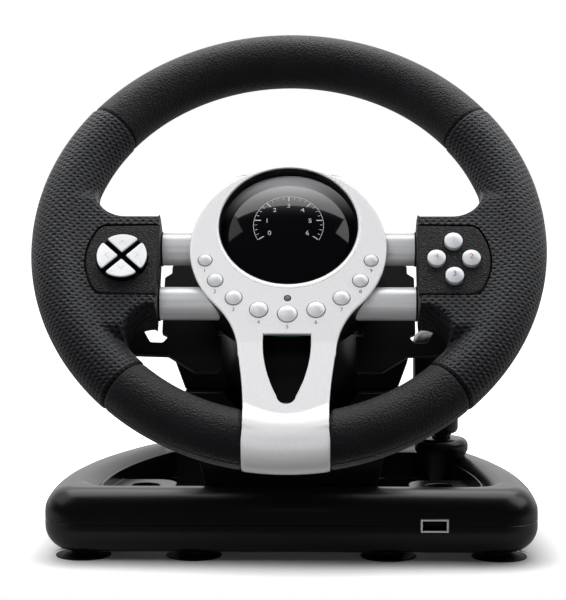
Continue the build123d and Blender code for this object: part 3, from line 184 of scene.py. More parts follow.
class Nodes:
    """The nodes of a material or of the surround. Inputs take plain values, sockets and Numbers."""

    def __init__(self, tree):
        self.tree = tree

    def node(self, kind, settings=None, inputs=None):
        node = self.tree.nodes.new(kind)
        for key, value in (settings or {}).items():
            setattr(node, key, value)
        for key, value in (inputs or {}).items():
            self.feed(node.inputs[key], value)
        return node

    def feed(self, socket, value):
        if isinstance(value, Number):
            value = value.socket
        if isinstance(value, bpy.types.NodeSocket):
            self.tree.links.new(value, socket)
        else:
            socket.default_value = value

    def number(self, node, output=0):
        return Number(self, node.outputs[output])


class Finish(Nodes):
    """A material with one Principled shader. Its keyword arguments are the shader's constant settings."""

    def __init__(self, name, **constants):
        self.material = bpy.data.materials.new(name)
        self.material.use_nodes = True
        super().__init__(self.material.node_tree)
        self.shader = self.tree.nodes["Principled BSDF"]
        for key, value in constants.items():
            socket = self.shader.inputs[key.replace("_", " ").title().replace("Ior", "IOR")]
            socket.default_value = (*value, 1.0) if isinstance(value, tuple) else value

    def set(self, key, value):
        self.feed(self.shader.inputs[key], value)

    def place(self, scale=1.0):
        """Where the surface point is, times a scale."""
        inputs = {0: self.node("ShaderNodeTexCoord").outputs["Object"], 3: (scale, scale, scale)}
        return self.node("ShaderNodeMapping", None, inputs).outputs[0]

    def noise(self, size, detail=2.0):
        """Cloudy value from 0 to 1 whose blotches are about size millimetres across."""
        inputs = {"Vector": self.place(1 / (size * MM)), "Scale": 1.0, "Detail": detail}
        return self.number(self.node("ShaderNodeTexNoise", None, inputs))

    def cells(self, size):
        """Smooth distance to the middles of cells that are size millimetres wide."""
        inputs = {"Vector": self.place(1 / (size * MM)), "Scale": 1.0}
        return self.number(self.node("ShaderNodeTexVoronoi", {"feature": "SMOOTH_F1"}, inputs))

    def colour(self, share, first, second, key="Base Color"):
        """Base colour, or another one, between first and second."""
        colours = {0: share, 6: (*first, 1.0), 7: (*second, 1.0)}
        self.set(key, self.node("ShaderNodeMix", {"data_type": "RGBA"}, colours).outputs[2])

    def shades(self, share, part, shade):
        """Base colour between a part of a shade and the full shade."""
        self.colour(share, tuple(part * c for c in shade), shade)

    def relief(self, height, depth):
        """Bump of a height from 0 to 1 that stands for depth millimetres."""
        inputs = {"Height": height, "Distance": depth * MM, "Strength": 1.0}
        self.set("Normal", self.node("ShaderNodeBump", None, inputs).outputs[0])


print("finishes can be made")

# %% [markdown]
# ## Surfaces from arrays of points
#
# Every new shape below is a sheet: an array of points with rows and columns. Two neighbouring rows and
# two neighbouring columns make a quad. A tube is a sheet whose last column repeats its first, and a dome
# is one whose last row is a single point. Merging points that lie on each other then closes seams and
# poles.

# %% Sheets become meshes
def quads(rows, columns):
    """Corner numbers of the quads of a grid of points that is numbered row by row."""
    corner = np.arange(rows * columns).reshape(rows, columns)[:-1, :-1]
    return np.stack([corner, corner + 1, corner + columns + 1, corner + columns], -1).reshape(-1, 4)


def close_up(mesh):
    """Merge points that lie on each other, drop faces with no area and turn the faces outwards."""
    work = bmesh.new()
    work.from_mesh(mesh)
    bmesh.ops.remove_doubles(work, verts=work.verts, dist=2e-6)
    bmesh.ops.dissolve_degenerate(work, edges=work.edges, dist=1e-7)
    bmesh.ops.recalc_face_normals(work, faces=work.faces)
    work.to_mesh(mesh)
    work.free()


def sheet_mesh(name, sheets, maps=None, mirrored=False):
    """A mesh from sheets in millimetres. maps holds two map coordinates for each point of each sheet."""
    across = np.array([-MM, MM, MM]) if mirrored else MM
    starts = np.cumsum([0] + [sheet.shape[0] * sheet.shape[1] for sheet in sheets])
    points = np.concatenate([sheet.reshape(-1, 3) for sheet in sheets]) * across
    faces = np.concatenate([quads(*sheet.shape[:2]) + start for sheet, start in zip(sheets, starts)])
    mesh = bpy.data.meshes.new(name)
    mesh.from_pydata(points, [], faces)
    if maps is not None:
        pairs = np.concatenate([pair.reshape(-1, 2) for pair in maps])
        mesh.uv_layers.new(name="along").data.foreach_set("uv", pairs[faces.ravel()].ravel())
    close_up(mesh)
    mesh.shade_smooth()
    return mesh


def settle(piece, sharp=None):
    """Put what the modifiers make into the mesh. With sharp, keep edges over that many degrees crisp."""
    bpy.context.view_layer.update()
    graph = bpy.context.evaluated_depsgraph_get()
    piece_now = piece.evaluated_get(graph)
    mesh = bpy.data.meshes.new_from_object(piece_now, preserve_all_data_layers=True, depsgraph=graph)
    piece.modifiers.clear()
    piece.data = mesh
    if sharp:
        mesh.shade_smooth()
        mesh.set_sharp_from_angle(angle=math.radians(sharp))


def fit(mesh, body, slot, finish, stands_for=()):
    """An object for a mesh: it rides on a body, takes a finish and stands for CAD nodes."""
    piece = bpy.data.objects.new(mesh.name, mesh)
    bpy.context.scene.collection.objects.link(piece)
    mesh.materials.clear()
    mesh.materials.append(finish.material)
    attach(piece, body)
    if stands_for:
        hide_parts(*stands_for)
    return piece


def add(name, sheets, body, slot, finish, stands_for=(), maps=None, mirrored=False):
    """A new piece made of sheets."""
    return fit(sheet_mesh(name, sheets, maps, mirrored), body, slot, finish, stands_for)


def face_driver(mesh, face=0):
    """Turn a mesh inside out where one of its faces looks away from the driver."""
    if Vector(AXIS_W).dot(mesh.polygons[face].normal) < 0:
        mesh.flip_normals()


def thicken(piece, thickness):
    """Give an open sheet a wall, behind its front, and put that into the mesh."""
    wall = piece.modifiers.new("wall", "SOLIDIFY")
    wall.thickness, wall.offset = thickness * MM, -1.0
    settle(piece)


def cut(piece, sheets):
    """Cut closed sheets out of a piece."""
    tool = bpy.data.objects.new("tool", sheet_mesh("tool", sheets))
    bpy.context.scene.collection.objects.link(tool)
    boolean = piece.modifiers.new("cut", "BOOLEAN")
    boolean.object = tool
    boolean.solver = "EXACT"
    settle(piece, 40)
    bpy.data.objects.remove(tool)


def ease(first, last, count):
    """Numbers from first to last that crowd at both ends: half a turn of a cosine."""
    return first + (last - first) * (1 - np.cos(np.linspace(0, np.pi, count))) / 2


print("a 3 by 4 sheet has", len(quads(3, 4)), "quads")

# %% [markdown]
# Three shapes come back again and again. A turned part is a profile of radius and height, swept round its
# axis. A flat part with a rounded edge is an outline, shrunk step by step along its own normals while it
# rises round the edge, and then drawn in to its middle. A cutter is an outline between two heights.

# %% Turned parts, plates and cutters
def turned(profile, u=0.0, v=0.0, columns=48, place=on_wheel):
    """Sheet round an axis at (u, v). profile rows are radius and height: (u + r cos a, v + r sin a, w)."""
    radius, w = np.array(profile, float).T[..., None]
    angle = np.linspace(0, 2 * np.pi, columns + 1)
    return place(u + radius * np.cos(angle), v + radius * np.sin(angle), w + 0 * angle)


def rounded(corners, radii, step=0.5):
    """Closed outline: a polygon with each corner replaced by an arc, with points a step apart."""
    corners, radii = np.array(corners, float), np.broadcast_to(radii, len(corners))
    path = []
    for here, before, after, radius in zip(corners, np.roll(corners, 1, 0), np.roll(corners, -1, 0), radii):
        back, ahead = before - here, after - here
        back, ahead = back / np.hypot(*back), ahead / np.hypot(*ahead)
        half = np.arccos(np.clip(back @ ahead, -1, 1)) / 2
        middle = here + (back + ahead) / np.hypot(*(back + ahead)) * radius / np.sin(half)
        start, end = (here + side * radius / np.tan(half) - middle for side in (back, ahead))
        turn = np.linspace(0, 1, 9)[:, None]
        arc = start * (1 - turn) + end * turn
        path.append(middle + arc / np.hypot(arc[:, 0], arc[:, 1])[:, None] * radius)
    return spaced(np.concatenate(path), step)


def spaced(path, step):
    """A closed path with points a step apart along it. Its last point repeats its first."""
    path = np.vstack([path, path[:1]])
    travelled = np.concatenate([[0], np.cumsum(np.hypot(*np.diff(path, axis=0).T))])
    stops = np.linspace(0, travelled[-1], max(8, int(travelled[-1] / step)) + 1)
    return np.stack([np.interp(stops, travelled, path[:, 0]), np.interp(stops, travelled, path[:, 1])], -1)


def outward(outline):
    """Unit normals of a closed outline that runs anticlockwise: the tangent turned a quarter clockwise."""
    ring = outline[:-1]
    tangent = np.roll(ring, -1, 0) - np.roll(ring, 1, 0)
    normal = np.stack([tangent[:, 1], -tangent[:, 0]], -1) / np.hypot(*tangent.T)[:, None]
    return np.vstack([normal, normal[:1]])


def plate(outline, low, high, edge, crown=0.0):
    """Sheet of a flat part: out from the foot's middle, up the wall, round the edge and in to the middle.

    Height inside is high + crown (1 - t^2), where t runs from 1 at the edge to 0 at the middle."""
    normal, middle = outward(outline), outline[:-1].mean(0)
    turn = np.linspace(0, np.pi / 2, 5)
    inset = np.concatenate([[0.0], edge * (1 - np.cos(turn))])
    height = np.concatenate([[low], high - edge + edge * np.sin(turn)])
    wall = outline[None] - normal[None] * inset[:, None, None]
    share = np.linspace(1, 0, 9)[1:, None, None]
    lid = middle + (wall[-1] - middle) * share
    lid_w = high + crown * (1 - share[:, 0, 0] ** 2)
    rows = np.concatenate([0 * wall[:1] + middle, wall, lid])
    return raised(rows, np.concatenate([[low], height, lid_w])[:, None])


def cutter(outline, low, high):
    """Closed sheet of an outline between two heights."""
    middle = outline[:-1].mean(0) + 0 * outline
    rows = np.stack([middle, outline, outline, middle])
    return raised(rows, np.array([low, low, high, high])[:, None])


def unit(angle):
    """Unit vectors at angles: cos, sin."""
    return np.stack([np.cos(angle), np.sin(angle)], -1)


def circle(radius, u=0.0, v=0.0, count=64):
    """Closed anticlockwise circle."""
    return np.array([u, v]) + radius * unit(np.linspace(0, 2 * np.pi, count + 1))


def nearest(points, path):
    """Distance from each point to a path, taken as its many short pieces."""
    start, run = path[:-1], np.diff(path, axis=0)
    gap = points.reshape(-1, 1, 2) - start
    share = np.clip((gap * run).sum(-1) / (run**2).sum(-1), 0, 1)
    off = gap - share[..., None] * run
    return np.sqrt((off**2).sum(-1)).min(1).reshape(points.shape[:-1])


print("a rounded square of 10 mm has", len(rounded([(0, 0), (10, 0), (10, 10), (0, 10)], 2.0)), "points")

# %% [markdown]
# Housings, such as the base and the column, already have the right shape in the CAD model. They only need
# their loose triangles joined, so that light runs smoothly over them, and a fine rounding on their crisp
# edges.

# %% A smoothed copy of a CAD piece
def bevelled(piece, width, sharp, clamp=True):
    """Add a bevel width millimetres wide to the edges that turn by more than sharp degrees."""
    bevel = piece.modifiers.new("edge", "BEVEL")
    bevel.width, bevel.segments, bevel.use_clamp_overlap = width * MM, 2, clamp
    bevel.limit_method, bevel.angle_limit = "ANGLE", math.radians(sharp)


def smoothed(node, body, slot, finish, width):
    """A piece for a CAD node: points merged, flat areas joined, and crisp edges rounded by width."""
    mesh = NODES[node].data.copy()
    mesh.name = node + "_skin"
    work = bmesh.new()
    work.from_mesh(mesh)
    bmesh.ops.remove_doubles(work, verts=work.verts, dist=1e-6)
    bmesh.ops.dissolve_limit(work, angle_limit=math.radians(0.3), verts=work.verts, edges=work.edges)
    work.to_mesh(mesh)
    work.free()
    piece = fit(mesh, body, slot, finish, [node])
    bevelled(piece, width, 30, clamp=False)
    piece.modifiers.new("shade", "WEIGHTED_NORMAL").keep_sharp = True
    piece.data.shade_smooth()
    piece.data.set_sharp_from_angle(angle=math.radians(50))
    settle(piece)
    return piece


print("CAD pieces can be smoothed")

# %% [markdown]
# ## The finishes of this wheel
#
# Leather first, because it covers the rim. It is near black, and what the eye sees is the light on its
# grain. The top and the two lower wraps have a fine pebbled grain. It is made of small cells with dents
# between them, over softer and larger unevenness. The colour varies a little with the same noise, so that
# it isn't flat.

# %% Smooth leather
def leather(name, cell, depth, shade):
    """Pebbled leather with cells cell millimetres wide, depth millimetres deep."""
    finish = Finish(name, specular_ior_level=0.32, sheen_weight=0.04)
    cloud = finish.noise(14.0, 3.0)
    pebble = finish.cells(cell)
    fine = finish.noise(cell / 2.2, 3.0)
    finish.shades(cloud.step(0.3, 0.75), 0.72, shade)
    finish.set("Roughness", 0.3 + 0.16 * cloud + 0.1 * fine)
    finish.relief(0.5 * fine + 0.3 * cloud - 0.9 * pebble, depth)
    return finish


smooth_leather = leather("smooth_leather", 0.85, 0.5, (0.0068, 0.0068, 0.0082))
print("smooth leather is ready")

# %% [markdown]
# The grips have level rows of short dents, as if pricked with a wheel before the leather was stretched
# over the rim. So this pattern reads the piece's own map, which holds the skin laid flat, in millimetres
# to the right and upwards. Every other row is moved by half a pitch. So the pattern is two plain grids,
# and the second is shifted by half a cell both ways. Inside a cell, a dent is an ellipse about the
# middle, and the skin sinks a little round it. The dents are painted darker too: painted shade in them.

# %% Pricked leather
def pricked_leather(name, pitch, row, length, width):
    """Leather with dents length by width, pitch millimetres apart in rows row millimetres apart."""
    finish = Finish(name, specular_ior_level=0.5, specular_tint=(0.94, 0.96, 1.0))
    way = finish.node("ShaderNodeUVMap", {"uv_map": "along"}).outputs[0]
    split = finish.node("ShaderNodeSeparateXYZ", None, {0: way})
    cloud, fine = finish.noise(16.0, 3.0), finish.noise(0.8, 4.0)
    waver = 0.12 * finish.noise(5.0)
    along = finish.number(split, 0) / pitch + waver
    across = finish.number(split, 1) / (2 * row) + waver

    def grid(shift):
        to_side = ((along + shift).maths("FRACT") - 0.5) * (2 * pitch / length)
        to_row = ((across + shift).maths("FRACT") - 0.5) * (4 * row / width)
        far = to_side * to_side + to_row * to_row
        return 1 - far.step(0.3, 1.3), 1 - far.step(0.0, 4.5)

    (dent_with_painted_shade, hollow), (more_dents_with_painted_shade, more_hollows) = grid(0.0), grid(0.5)
    dent_with_painted_shade, hollow = dent_with_painted_shade + more_dents_with_painted_shade, hollow + more_hollows
    # The dents are painted darker than the skin: painted shade.
    finish.colour(dent_with_painted_shade, (0.0052, 0.0054, 0.0072), (0.0008, 0.0008, 0.0012))
    finish.set("Roughness", 0.27 + 0.14 * cloud + 0.1 * fine + 0.25 * dent_with_painted_shade)
    finish.relief(0.6 * fine - 0.9 * dent_with_painted_shade - 0.22 * hollow, 0.8)
    return finish


grip_leather = pricked_leather("grip_leather", 3.7, 1.8, 1.35, 1.0)
print("pricked leather is ready")

# %% [markdown]
# The two pads carry a coarse moulded grain: wrinkled cells with grooves between them. The distance to the
# edge of each cell gives the grooves, and bending the cells with noise keeps them from looking like a
# net. The grooves are painted darker than the cells: painted shade in them.

# %% Moulded grain
def moulded_grain(name, cell, depth):
    """Plastic with a leather grain: grooves along the borders of bent cells, which are wider than high."""
    finish = Finish(name, specular_ior_level=0.45)
    bend = finish.node("ShaderNodeTexNoise", None, {"Vector": finish.place(1 / (3 * MM)), "Scale": 1.0})
    flat = finish.node("ShaderNodeMapping", None, {0: finish.place(1 / (cell * MM)), 3: (0.42, 1.0, 1.0)})
    where = finish.node("ShaderNodeVectorMath", {"operation": "MULTIPLY_ADD"},
                        {0: bend.outputs["Color"], 1: (0.55, 0.55, 0.55), 2: flat.outputs[0]})
    cells = {"Vector": where.outputs[0], "Scale": 1.0}
    net = finish.node("ShaderNodeTexVoronoi", {"feature": "DISTANCE_TO_EDGE"}, cells)
    hill_and_groove_shade = finish.number(net).step(0.02, 0.32)
    fine = finish.noise(0.4, 3.0)
    # The grooves are painted darker than the cells: painted shade.
    finish.colour(hill_and_groove_shade, (0.003, 0.003, 0.0036), (0.009, 0.009, 0.0105))
    finish.set("Roughness", 0.6 - 0.2 * hill_and_groove_shade + 0.08 * fine)
    finish.relief(0.9 * hill_and_groove_shade + 0.15 * fine, depth)
    return finish


pad_grain = moulded_grain("pad_grain", 0.85, 0.4)
print("moulded grain is ready")

# %% [markdown]
# The faceplate is plastic with satin silver paint. Metal flakes in the paint show as a very fine speckle,
# and the paint takes its brightness from what it faces. The spoke tubes are real satin aluminium, drawn
# lengthwise, so their roughness varies in long streaks. The buttons have the same silver paint, a little
# finer.

# %% Silver paint and satin aluminium
def silver_paint(name, shade, rough, flake, metal):
    """Satin paint whose colour and roughness vary with flakes flake millimetres wide."""
    finish = Finish(name, metallic=metal, specular_ior_level=0.5)
    speck = finish.noise(flake, 4.0)
    cloud = finish.noise(22.0, 2.0)
    finish.shades(speck.step(0.3, 0.7), 0.86, shade)
    finish.set("Roughness", rough - 0.05 + 0.07 * speck + 0.05 * cloud)
    finish.relief(speck, 0.012)
    return finish


def drawn_metal(name, shade, rough, metal=1.0):
    """Metal with streaks along x: noise that is stretched sixty times in that direction."""
    finish = Finish(name, metallic=metal)
    where = finish.node("ShaderNodeMapping", None, {0: finish.place(), 3: (25.0, 1500.0, 1500.0)})
    inputs = {"Vector": where.outputs[0], "Scale": 1.0, "Detail": 3.0}
    streak = finish.number(finish.node("ShaderNodeTexNoise", None, inputs))
    finish.shades(streak.step(0.3, 0.7), 0.9, shade)
    finish.set("Roughness", rough - 0.06 + 0.12 * streak)
    finish.relief(streak, 0.01)
    return finish


faceplate_silver = silver_paint("faceplate_silver", (0.81, 0.81, 0.825), 0.36, 0.35, 0.22)
button_silver = silver_paint("button_silver", (0.72, 0.725, 0.74), 0.34, 0.3, 0.3)
tube_metal = drawn_metal("tube_metal", (0.70, 0.705, 0.72), 0.34, 0.4)
steel = drawn_metal("steel", (0.5, 0.5, 0.52), 0.32)
bronze = drawn_metal("bronze", (0.5, 0.34, 0.16), 0.4)
print("silver paint and metals are ready")

# %% [markdown]
# The rest is moulded plastic and rubber. Three things set one apart from another: how dark it is, how
# rough it is, and how fine its texture is. One recipe makes them all. Fine texture feeds the bump, and
# soft clouds in the roughness break up a reflection, as handling does on a real shell.

# %% Plastics and rubber
def moulded(name, shade, rough, grain=0.3, depth=0.006, specular=0.5, **more):
    """Moulded material: noise grain millimetres wide for its texture, and clouds in its roughness."""
    finish = Finish(name, specular_ior_level=specular, **more)
    fine, cloud = finish.noise(grain, 3.0), finish.noise(25.0, 2.0)
    finish.shades(cloud.step(0.3, 0.7), 0.88, shade)
    finish.set("Roughness", rough - 0.03 + 0.06 * cloud + 0.04 * fine)
    finish.relief(fine, depth)
    return finish


shell_black = moulded("shell_black", (0.0022, 0.0022, 0.0028), 0.27, depth=0.004, specular=0.48)
matt_black = moulded("matt_black", (0.003, 0.003, 0.0036), 0.48, 0.45, 0.03, specular=0.32)
# Near black and dull: the dome's seat, and the painted shade in the gaps round the buttons.
bezel_and_gap_shade_black = moulded("bezel_and_gap_shade_black", (0.001, 0.001, 0.0012), 0.45, depth=0.004, specular=0.2)
key_white = moulded("key_white", (0.80, 0.81, 0.83), 0.24, depth=0.003)
key_pearl = moulded("key_pearl", (0.66, 0.67, 0.70), 0.28, depth=0.003, metallic=0.25)
rubber = moulded("rubber", (0.0035, 0.0035, 0.004), 0.55, 0.6, 0.03, specular=0.3)
mat_grey = moulded("mat_grey", (0.5, 0.51, 0.51), 0.5)
gear_white = moulded("gear_white", (0.72, 0.71, 0.67), 0.42)
board_green = moulded("board_green", (0.012, 0.10, 0.045), 0.32)
lamp_red = moulded("lamp_red", (0.13, 0.115, 0.115), 0.16, depth=0.002)
print_grey = moulded("print_grey", (0.05, 0.05, 0.055), 0.5)
print_faint = moulded("print_faint", (0.45, 0.45, 0.47), 0.4)
print_pale = moulded("print_pale", (0.42, 0.42, 0.44), 0.4)
print_blue = moulded("print_blue", (0.06, 0.13, 0.42), 0.4)
print_pink = moulded("print_pink", (0.55, 0.05, 0.20), 0.4)
print_red = moulded("print_red", (0.50, 0.03, 0.04), 0.4)
print("plastics and rubber are ready")

# %% [markdown]
# Many pieces can't be seen from outside: motors, boards, gears, the shaft. Their CAD shapes stay as they
# are and only get the finish that their material slot asks for. Every other piece is matt black until a
# new one below stands for it.

# %% Finishes for the CAD pieces that stay
INSIDE = {
    "steel": steel,
    "bronze": bronze,
    "gear_white": gear_white,
    "board_green": board_green,
    "mat_grey": mat_grey,
}
SLOTS = {part["node"]: part["material_slot"] for part in frame["record"]["subparts"]}
for node, slot in SLOTS.items():
    NODES[node].data.materials.clear()
    NODES[node].data.materials.append(INSIDE.get(slot, matt_black).material)
print("finished", len(SLOTS), "CAD pieces")

# %% [markdown]
# ## The rim
#
# The rim is a tube bent into a circle. A point on it has two angles: phi goes round the wheel and theta
# goes round the tube, from 0 on the outside of the rim towards the driver. The leather is in separate
# wraps that meet at narrow seams, so each wrap is pulled in a little at its ends, and a fine line shows
# where the moulded halves under it meet.

# %% Sizes of the rim
RIM_OUT = wheel_box("rim_wrap_top")[1][1]
TUBE_R = wheel_box("rim_wrap_top")[1][2]
RIM_R = RIM_OUT - TUBE_R
TOP_START = math.degrees(math.acos(wheel_box("rim_wrap_top")[1][0] / RIM_OUT))
GRIP_END = -47.0
WRAP_CUT = 20.5
SEAM_PULL, SEAM_WIDTH, SEAM_GAP = 0.65, 0.7, 0.12
PARTING_DEPTH, PARTING_ANGLE = 0.22, 0.16
print("rim radius", round(RIM_R, 2), "tube radius", round(TUBE_R, 2), "top wrap from", round(TOP_START, 1))


# %% Smooth wraps
def tube_point(phi, theta, radius):
    """(u, v, w) on the rim's tube: rho = R + r cos theta, then rho cos phi, rho sin phi, r sin theta."""
    rho = RIM_R + radius * np.cos(theta)
    return np.broadcast_arrays(rho * np.cos(phi), rho * np.sin(phi), radius * np.sin(theta))


def tube_radius(theta, from_end):
    """Radius of a wrap: less a parting line near the outside, and drawn in over the last millimetres."""
    parting = PARTING_DEPTH * np.exp(-(((theta - PARTING_ANGLE) * TUBE_R / 0.35) ** 2))
    return TUBE_R - parting - SEAM_PULL * np.exp(-((from_end / SEAM_WIDTH) ** 2))


def theta_stops():
    """Angles round the tube that crowd at the parting line, from theta + a sin(theta)."""
    even = np.linspace(-np.pi, np.pi, 73)
    return even - 0.9 * np.sin(even) + PARTING_ANGLE


def wrap_stops(start, end, count):
    """Angles round the wheel in radians, crowded at both ends."""
    middle = np.linspace(0, 1, count)
    share = middle - 0.92 * np.sin(2 * np.pi * middle) / (2 * np.pi)
    return np.radians(start + (end - start) * share)[:, None]


def closed_ends(u, v, w):
    """The sheet with one more row at each end, in the middle of that end, so that the end is a wall."""
    first, last = ([0 * c[:1] + c[end, :-1].mean() for c in (u, v, w)] for end in (0, -1))
    return on_wheel(*map(np.concatenate, zip(first, (u, v, w), last)))


theta = theta_stops()
phi = wrap_stops(TOP_START + SEAM_GAP, 180 - TOP_START - SEAM_GAP, 150)
from_end = RIM_R * np.minimum(phi - phi[0], phi[-1] - phi)
top_wrap = closed_ends(*tube_point(phi, theta, tube_radius(theta, from_end)))
add("top_wrap", [top_wrap], "wheel", "leather_smooth", smooth_leather, ["rim_wrap_top"])
print("top wrap has", top_wrap.shape[0], "rows")

# %% [markdown]
# The lower wraps end at two upright cuts beside the silver wrap. An upright cut isn't a cut across the
# tube, so the last rows are bent: at the end each point keeps its own u at the cut, and phi follows from
# it.

# %% Lower wraps
share = ease(0, 1, 70)[:, None]
rho = RIM_R + TUBE_R * np.cos(theta)
first = np.radians(GRIP_END - SEAM_GAP) + 0 * theta
last = -np.arccos((WRAP_CUT + 0.15) / rho)
phi = first + (last - first) * share
from_end = np.minimum((first - phi) * RIM_R, (phi - last) * rho)
lower_wrap = closed_ends(*tube_point(phi, theta, tube_radius(theta, from_end)))
lower_wraps = [lower_wrap, lower_wrap * [-1, 1, 1]]
add("lower_wraps", lower_wraps, "wheel", "leather_smooth", smooth_leather, ["rim_wraps_lower"])
print("lower wraps run to", round(float(np.degrees(last.min())), 1), "degrees")

# %% [markdown]
# ## The grips
#
# Each grip is one skin of pricked leather over the rim and over the block that holds the keys. From in
# front its outline runs along the inside of the rim, turns through a wide concave curve into the block's
# top edge, goes down the block's inner end and comes back the same way. The skin is a height over that
# outline. Over the tube it is a circle, over the block it is nearly flat with a rounded edge, and the two
# are blended where they meet, as leather that is stretched over both.
#
# The rows of the sheet are closed loops. Each starts at the back of the rim, goes round its outside to
# the crest in front, straight in to the outline, and out again along the back.

# %% Outline of the grip
GRIP_R = TUBE_R + 0.35
SPOKE_V = -18.3
BLOCK_IN, BLOCK_HALF, BLOCK_TOP = 61.9, 27.0, 12.25
BLEND_R = {1: 14.8, -1: 11.6}
CORNER_R = 2.0
PLAIN_ROWS, BLEND_ROWS, EDGE_ROWS, END_ROWS = 61, 26, 23, 33


def grip_side(sign):
    """Half of the inner outline, from the rim to the middle of the block: arc, edge, corner, end."""
    radius = BLEND_R[sign]
    edge_v = SPOKE_V + sign * BLOCK_HALF
    middle_v = edge_v + sign * radius
    middle_u = math.sqrt((RIM_R - GRIP_R - radius) ** 2 - middle_v**2)
    meet = math.atan2(middle_v, middle_u)
    arc = np.linspace(meet, -sign * math.pi / 2, BLEND_ROWS)
    blend = np.array([middle_u, middle_v]) + radius * unit(arc)
    edge_u = ease(middle_u, BLOCK_IN + CORNER_R, EDGE_ROWS + 1)[1:]
    edge = np.stack([edge_u, np.full(EDGE_ROWS, edge_v)], -1)
    bend = np.linspace(0, np.pi / 2, 7)[1:, None]
    corner_v = edge_v - sign * CORNER_R
    corner_u = BLOCK_IN + CORNER_R * (1 - np.sin(bend))
    corner = np.hstack([corner_u, corner_v + sign * CORNER_R * np.cos(bend)])
    to_middle = 1 - np.cos(np.linspace(0, np.pi / 2, END_ROWS + 1)[1:])
    end = np.stack([np.full(END_ROWS, BLOCK_IN), corner_v + (SPOKE_V - corner_v) * to_middle], -1)
    return meet, blend, edge, np.vstack([corner, end])


def crest_at(v):
    """Angle of the point of the crest circle at height v."""
    return np.arcsin(v / RIM_R)


def grip_rows(sign):
    """Crest angles and outline points of the rows, from the grip's end to the middle of the block."""
    meet, blend, edge, end = grip_side(sign)
    limit = math.radians(TOP_START - SEAM_GAP if sign > 0 else GRIP_END + SEAM_GAP)
    plain = limit + (meet - limit) * np.linspace(0, 1, PLAIN_ROWS + 1)[:-1] ** 1.5
    ends = (RIM_R - GRIP_R) * unit(plain)
    edge_v = SPOKE_V + sign * BLOCK_HALF
    sweep = np.linspace(0, 1, len(blend))
    over_blend = meet + (crest_at(edge_v + sign * 0.5) - meet) * sweep
    over_edge = crest_at(edge_v + sign * 0.5 - sign * 0.9 * np.linspace(0, 1, len(edge) + 1)[1:])
    down = ((end[:, 1] - edge_v) / (SPOKE_V - edge_v)) ** 1.15
    over_end = crest_at(edge_v - sign * 0.4 + (SPOKE_V - edge_v + sign * 0.4) * down)
    return np.concatenate([plain, over_blend, over_edge, over_end]), np.vstack([ends, blend, edge, end])


upper_phi, upper_end = grip_rows(1)
lower_phi, lower_end = grip_rows(-1)
SIDE_ROWS = PLAIN_ROWS + BLEND_ROWS + EDGE_ROWS
crest_phi = np.concatenate([upper_phi, lower_phi[::-1][1:]])
inner_end = np.vstack([upper_end, lower_end[::-1][1:]])
print("the grip has", len(crest_phi), "rows, from", np.degrees(crest_phi[[0, -1]]).round(1), "degrees")


# %% Height of the skin
FADE_END, FADE = 27.0, 19.0
BLOCK_EDGE, END_STEEPNESS, MERGE = 4.5, 2.2, 2.2


def boxy(distance, radius, power=3.4):
    """Height share over a rounded edge: a superellipse, 0 at the edge and 1 from radius inwards."""
    return (1 - (1 - np.clip(distance / radius, 0, 1)) ** power) ** (1 / power)


def blended(first, second, reach):
    """The larger of two heights, with a smooth change over reach: max plus k^2 reach / 4."""
    near = np.clip(reach - np.abs(first - second), 0, None) / reach
    return np.maximum(first, second) + near**2 * reach / 4


def grip_height(plan):
    """Height of the skin over points (u, v) between the outline and the crest."""
    off_crest = RIM_R - np.hypot(plan[..., 0], plan[..., 1])
    tube = np.sqrt(np.clip(GRIP_R**2 - off_crest**2, 0, None))
    on_block = np.clip((BLOCK_HALF + FADE_END - np.abs(plan[..., 1] - SPOKE_V)) / FADE, 0, 1)
    on_block = on_block**2 * (3 - 2 * on_block)
    sides = np.minimum(nearest(plan, upper_end[:SIDE_ROWS]), nearest(plan, lower_end[:SIDE_ROWS]))
    to_edge = np.minimum(sides, END_STEEPNESS * (plan[..., 0] - BLOCK_IN))
    block = BLOCK_TOP * on_block * boxy(to_edge, BLOCK_EDGE)
    return np.where(on_block > 0, blended(tube, block, MERGE * on_block + 0.01), tube)


share = np.sin(np.linspace(0, np.pi / 2, 46))[:, None]
crest = RIM_R * unit(crest_phi)[:, None]
plan = crest + (inner_end[:, None] - crest) * share
height = grip_height(plan)
height[:, -1] = 0
print("highest point of the skin", round(float(height.max()), 2))

# %% The skin as loops
row_gap = RIM_R * np.abs(crest_phi - crest_phi[0])
from_end = np.minimum(row_gap, row_gap[-1] - row_gap)[:, None]
pull = 1 - SEAM_PULL / GRIP_R * np.exp(-((from_end / SEAM_WIDTH) ** 2))
outside = np.linspace(-np.pi / 2, np.pi / 2, 37)
parting = PARTING_DEPTH * np.exp(-(((outside - PARTING_ANGLE) * GRIP_R / 0.6) ** 2))
outer = tube_point(crest_phi[:, None], outside, GRIP_R - parting)
front = (plan[..., 0], plan[..., 1], height)
back = (plan[..., 0], plan[..., 1], -height)
toward = crest[:, 0]
middles = (toward[:, :1], toward[:, 1:], 0.0)
loops = []
for middle, *parts in zip(middles, outer, front, back):
    loop = np.hstack([parts[0], parts[1][:, 1:], parts[2][:, ::-1][:, 1:]])
    loops.append(middle + (loop - middle) * pull)
grip_sheet = closed_ends(*loops)

step = np.sqrt(sum(np.diff(loop, axis=1) ** 2 for loop in loops))
travelled = np.hstack([np.zeros((len(step), 1)), np.cumsum(step, 1)])
travelled = travelled - travelled[:, len(outside) - 1:len(outside)]
way_in = inner_end - toward
way_in = way_in / np.hypot(way_in[:, :1], way_in[:, 1:])
way = np.where(travelled[..., None] > 0, way_in[:, None], -crest / RIM_R)
grip_map = crest + way * travelled[..., None]
grip_map = np.concatenate([grip_map[:1], grip_map, grip_map[-1:]])
print("the skin goes", round(float(travelled.max() - travelled.min()), 1), "mm round the block")

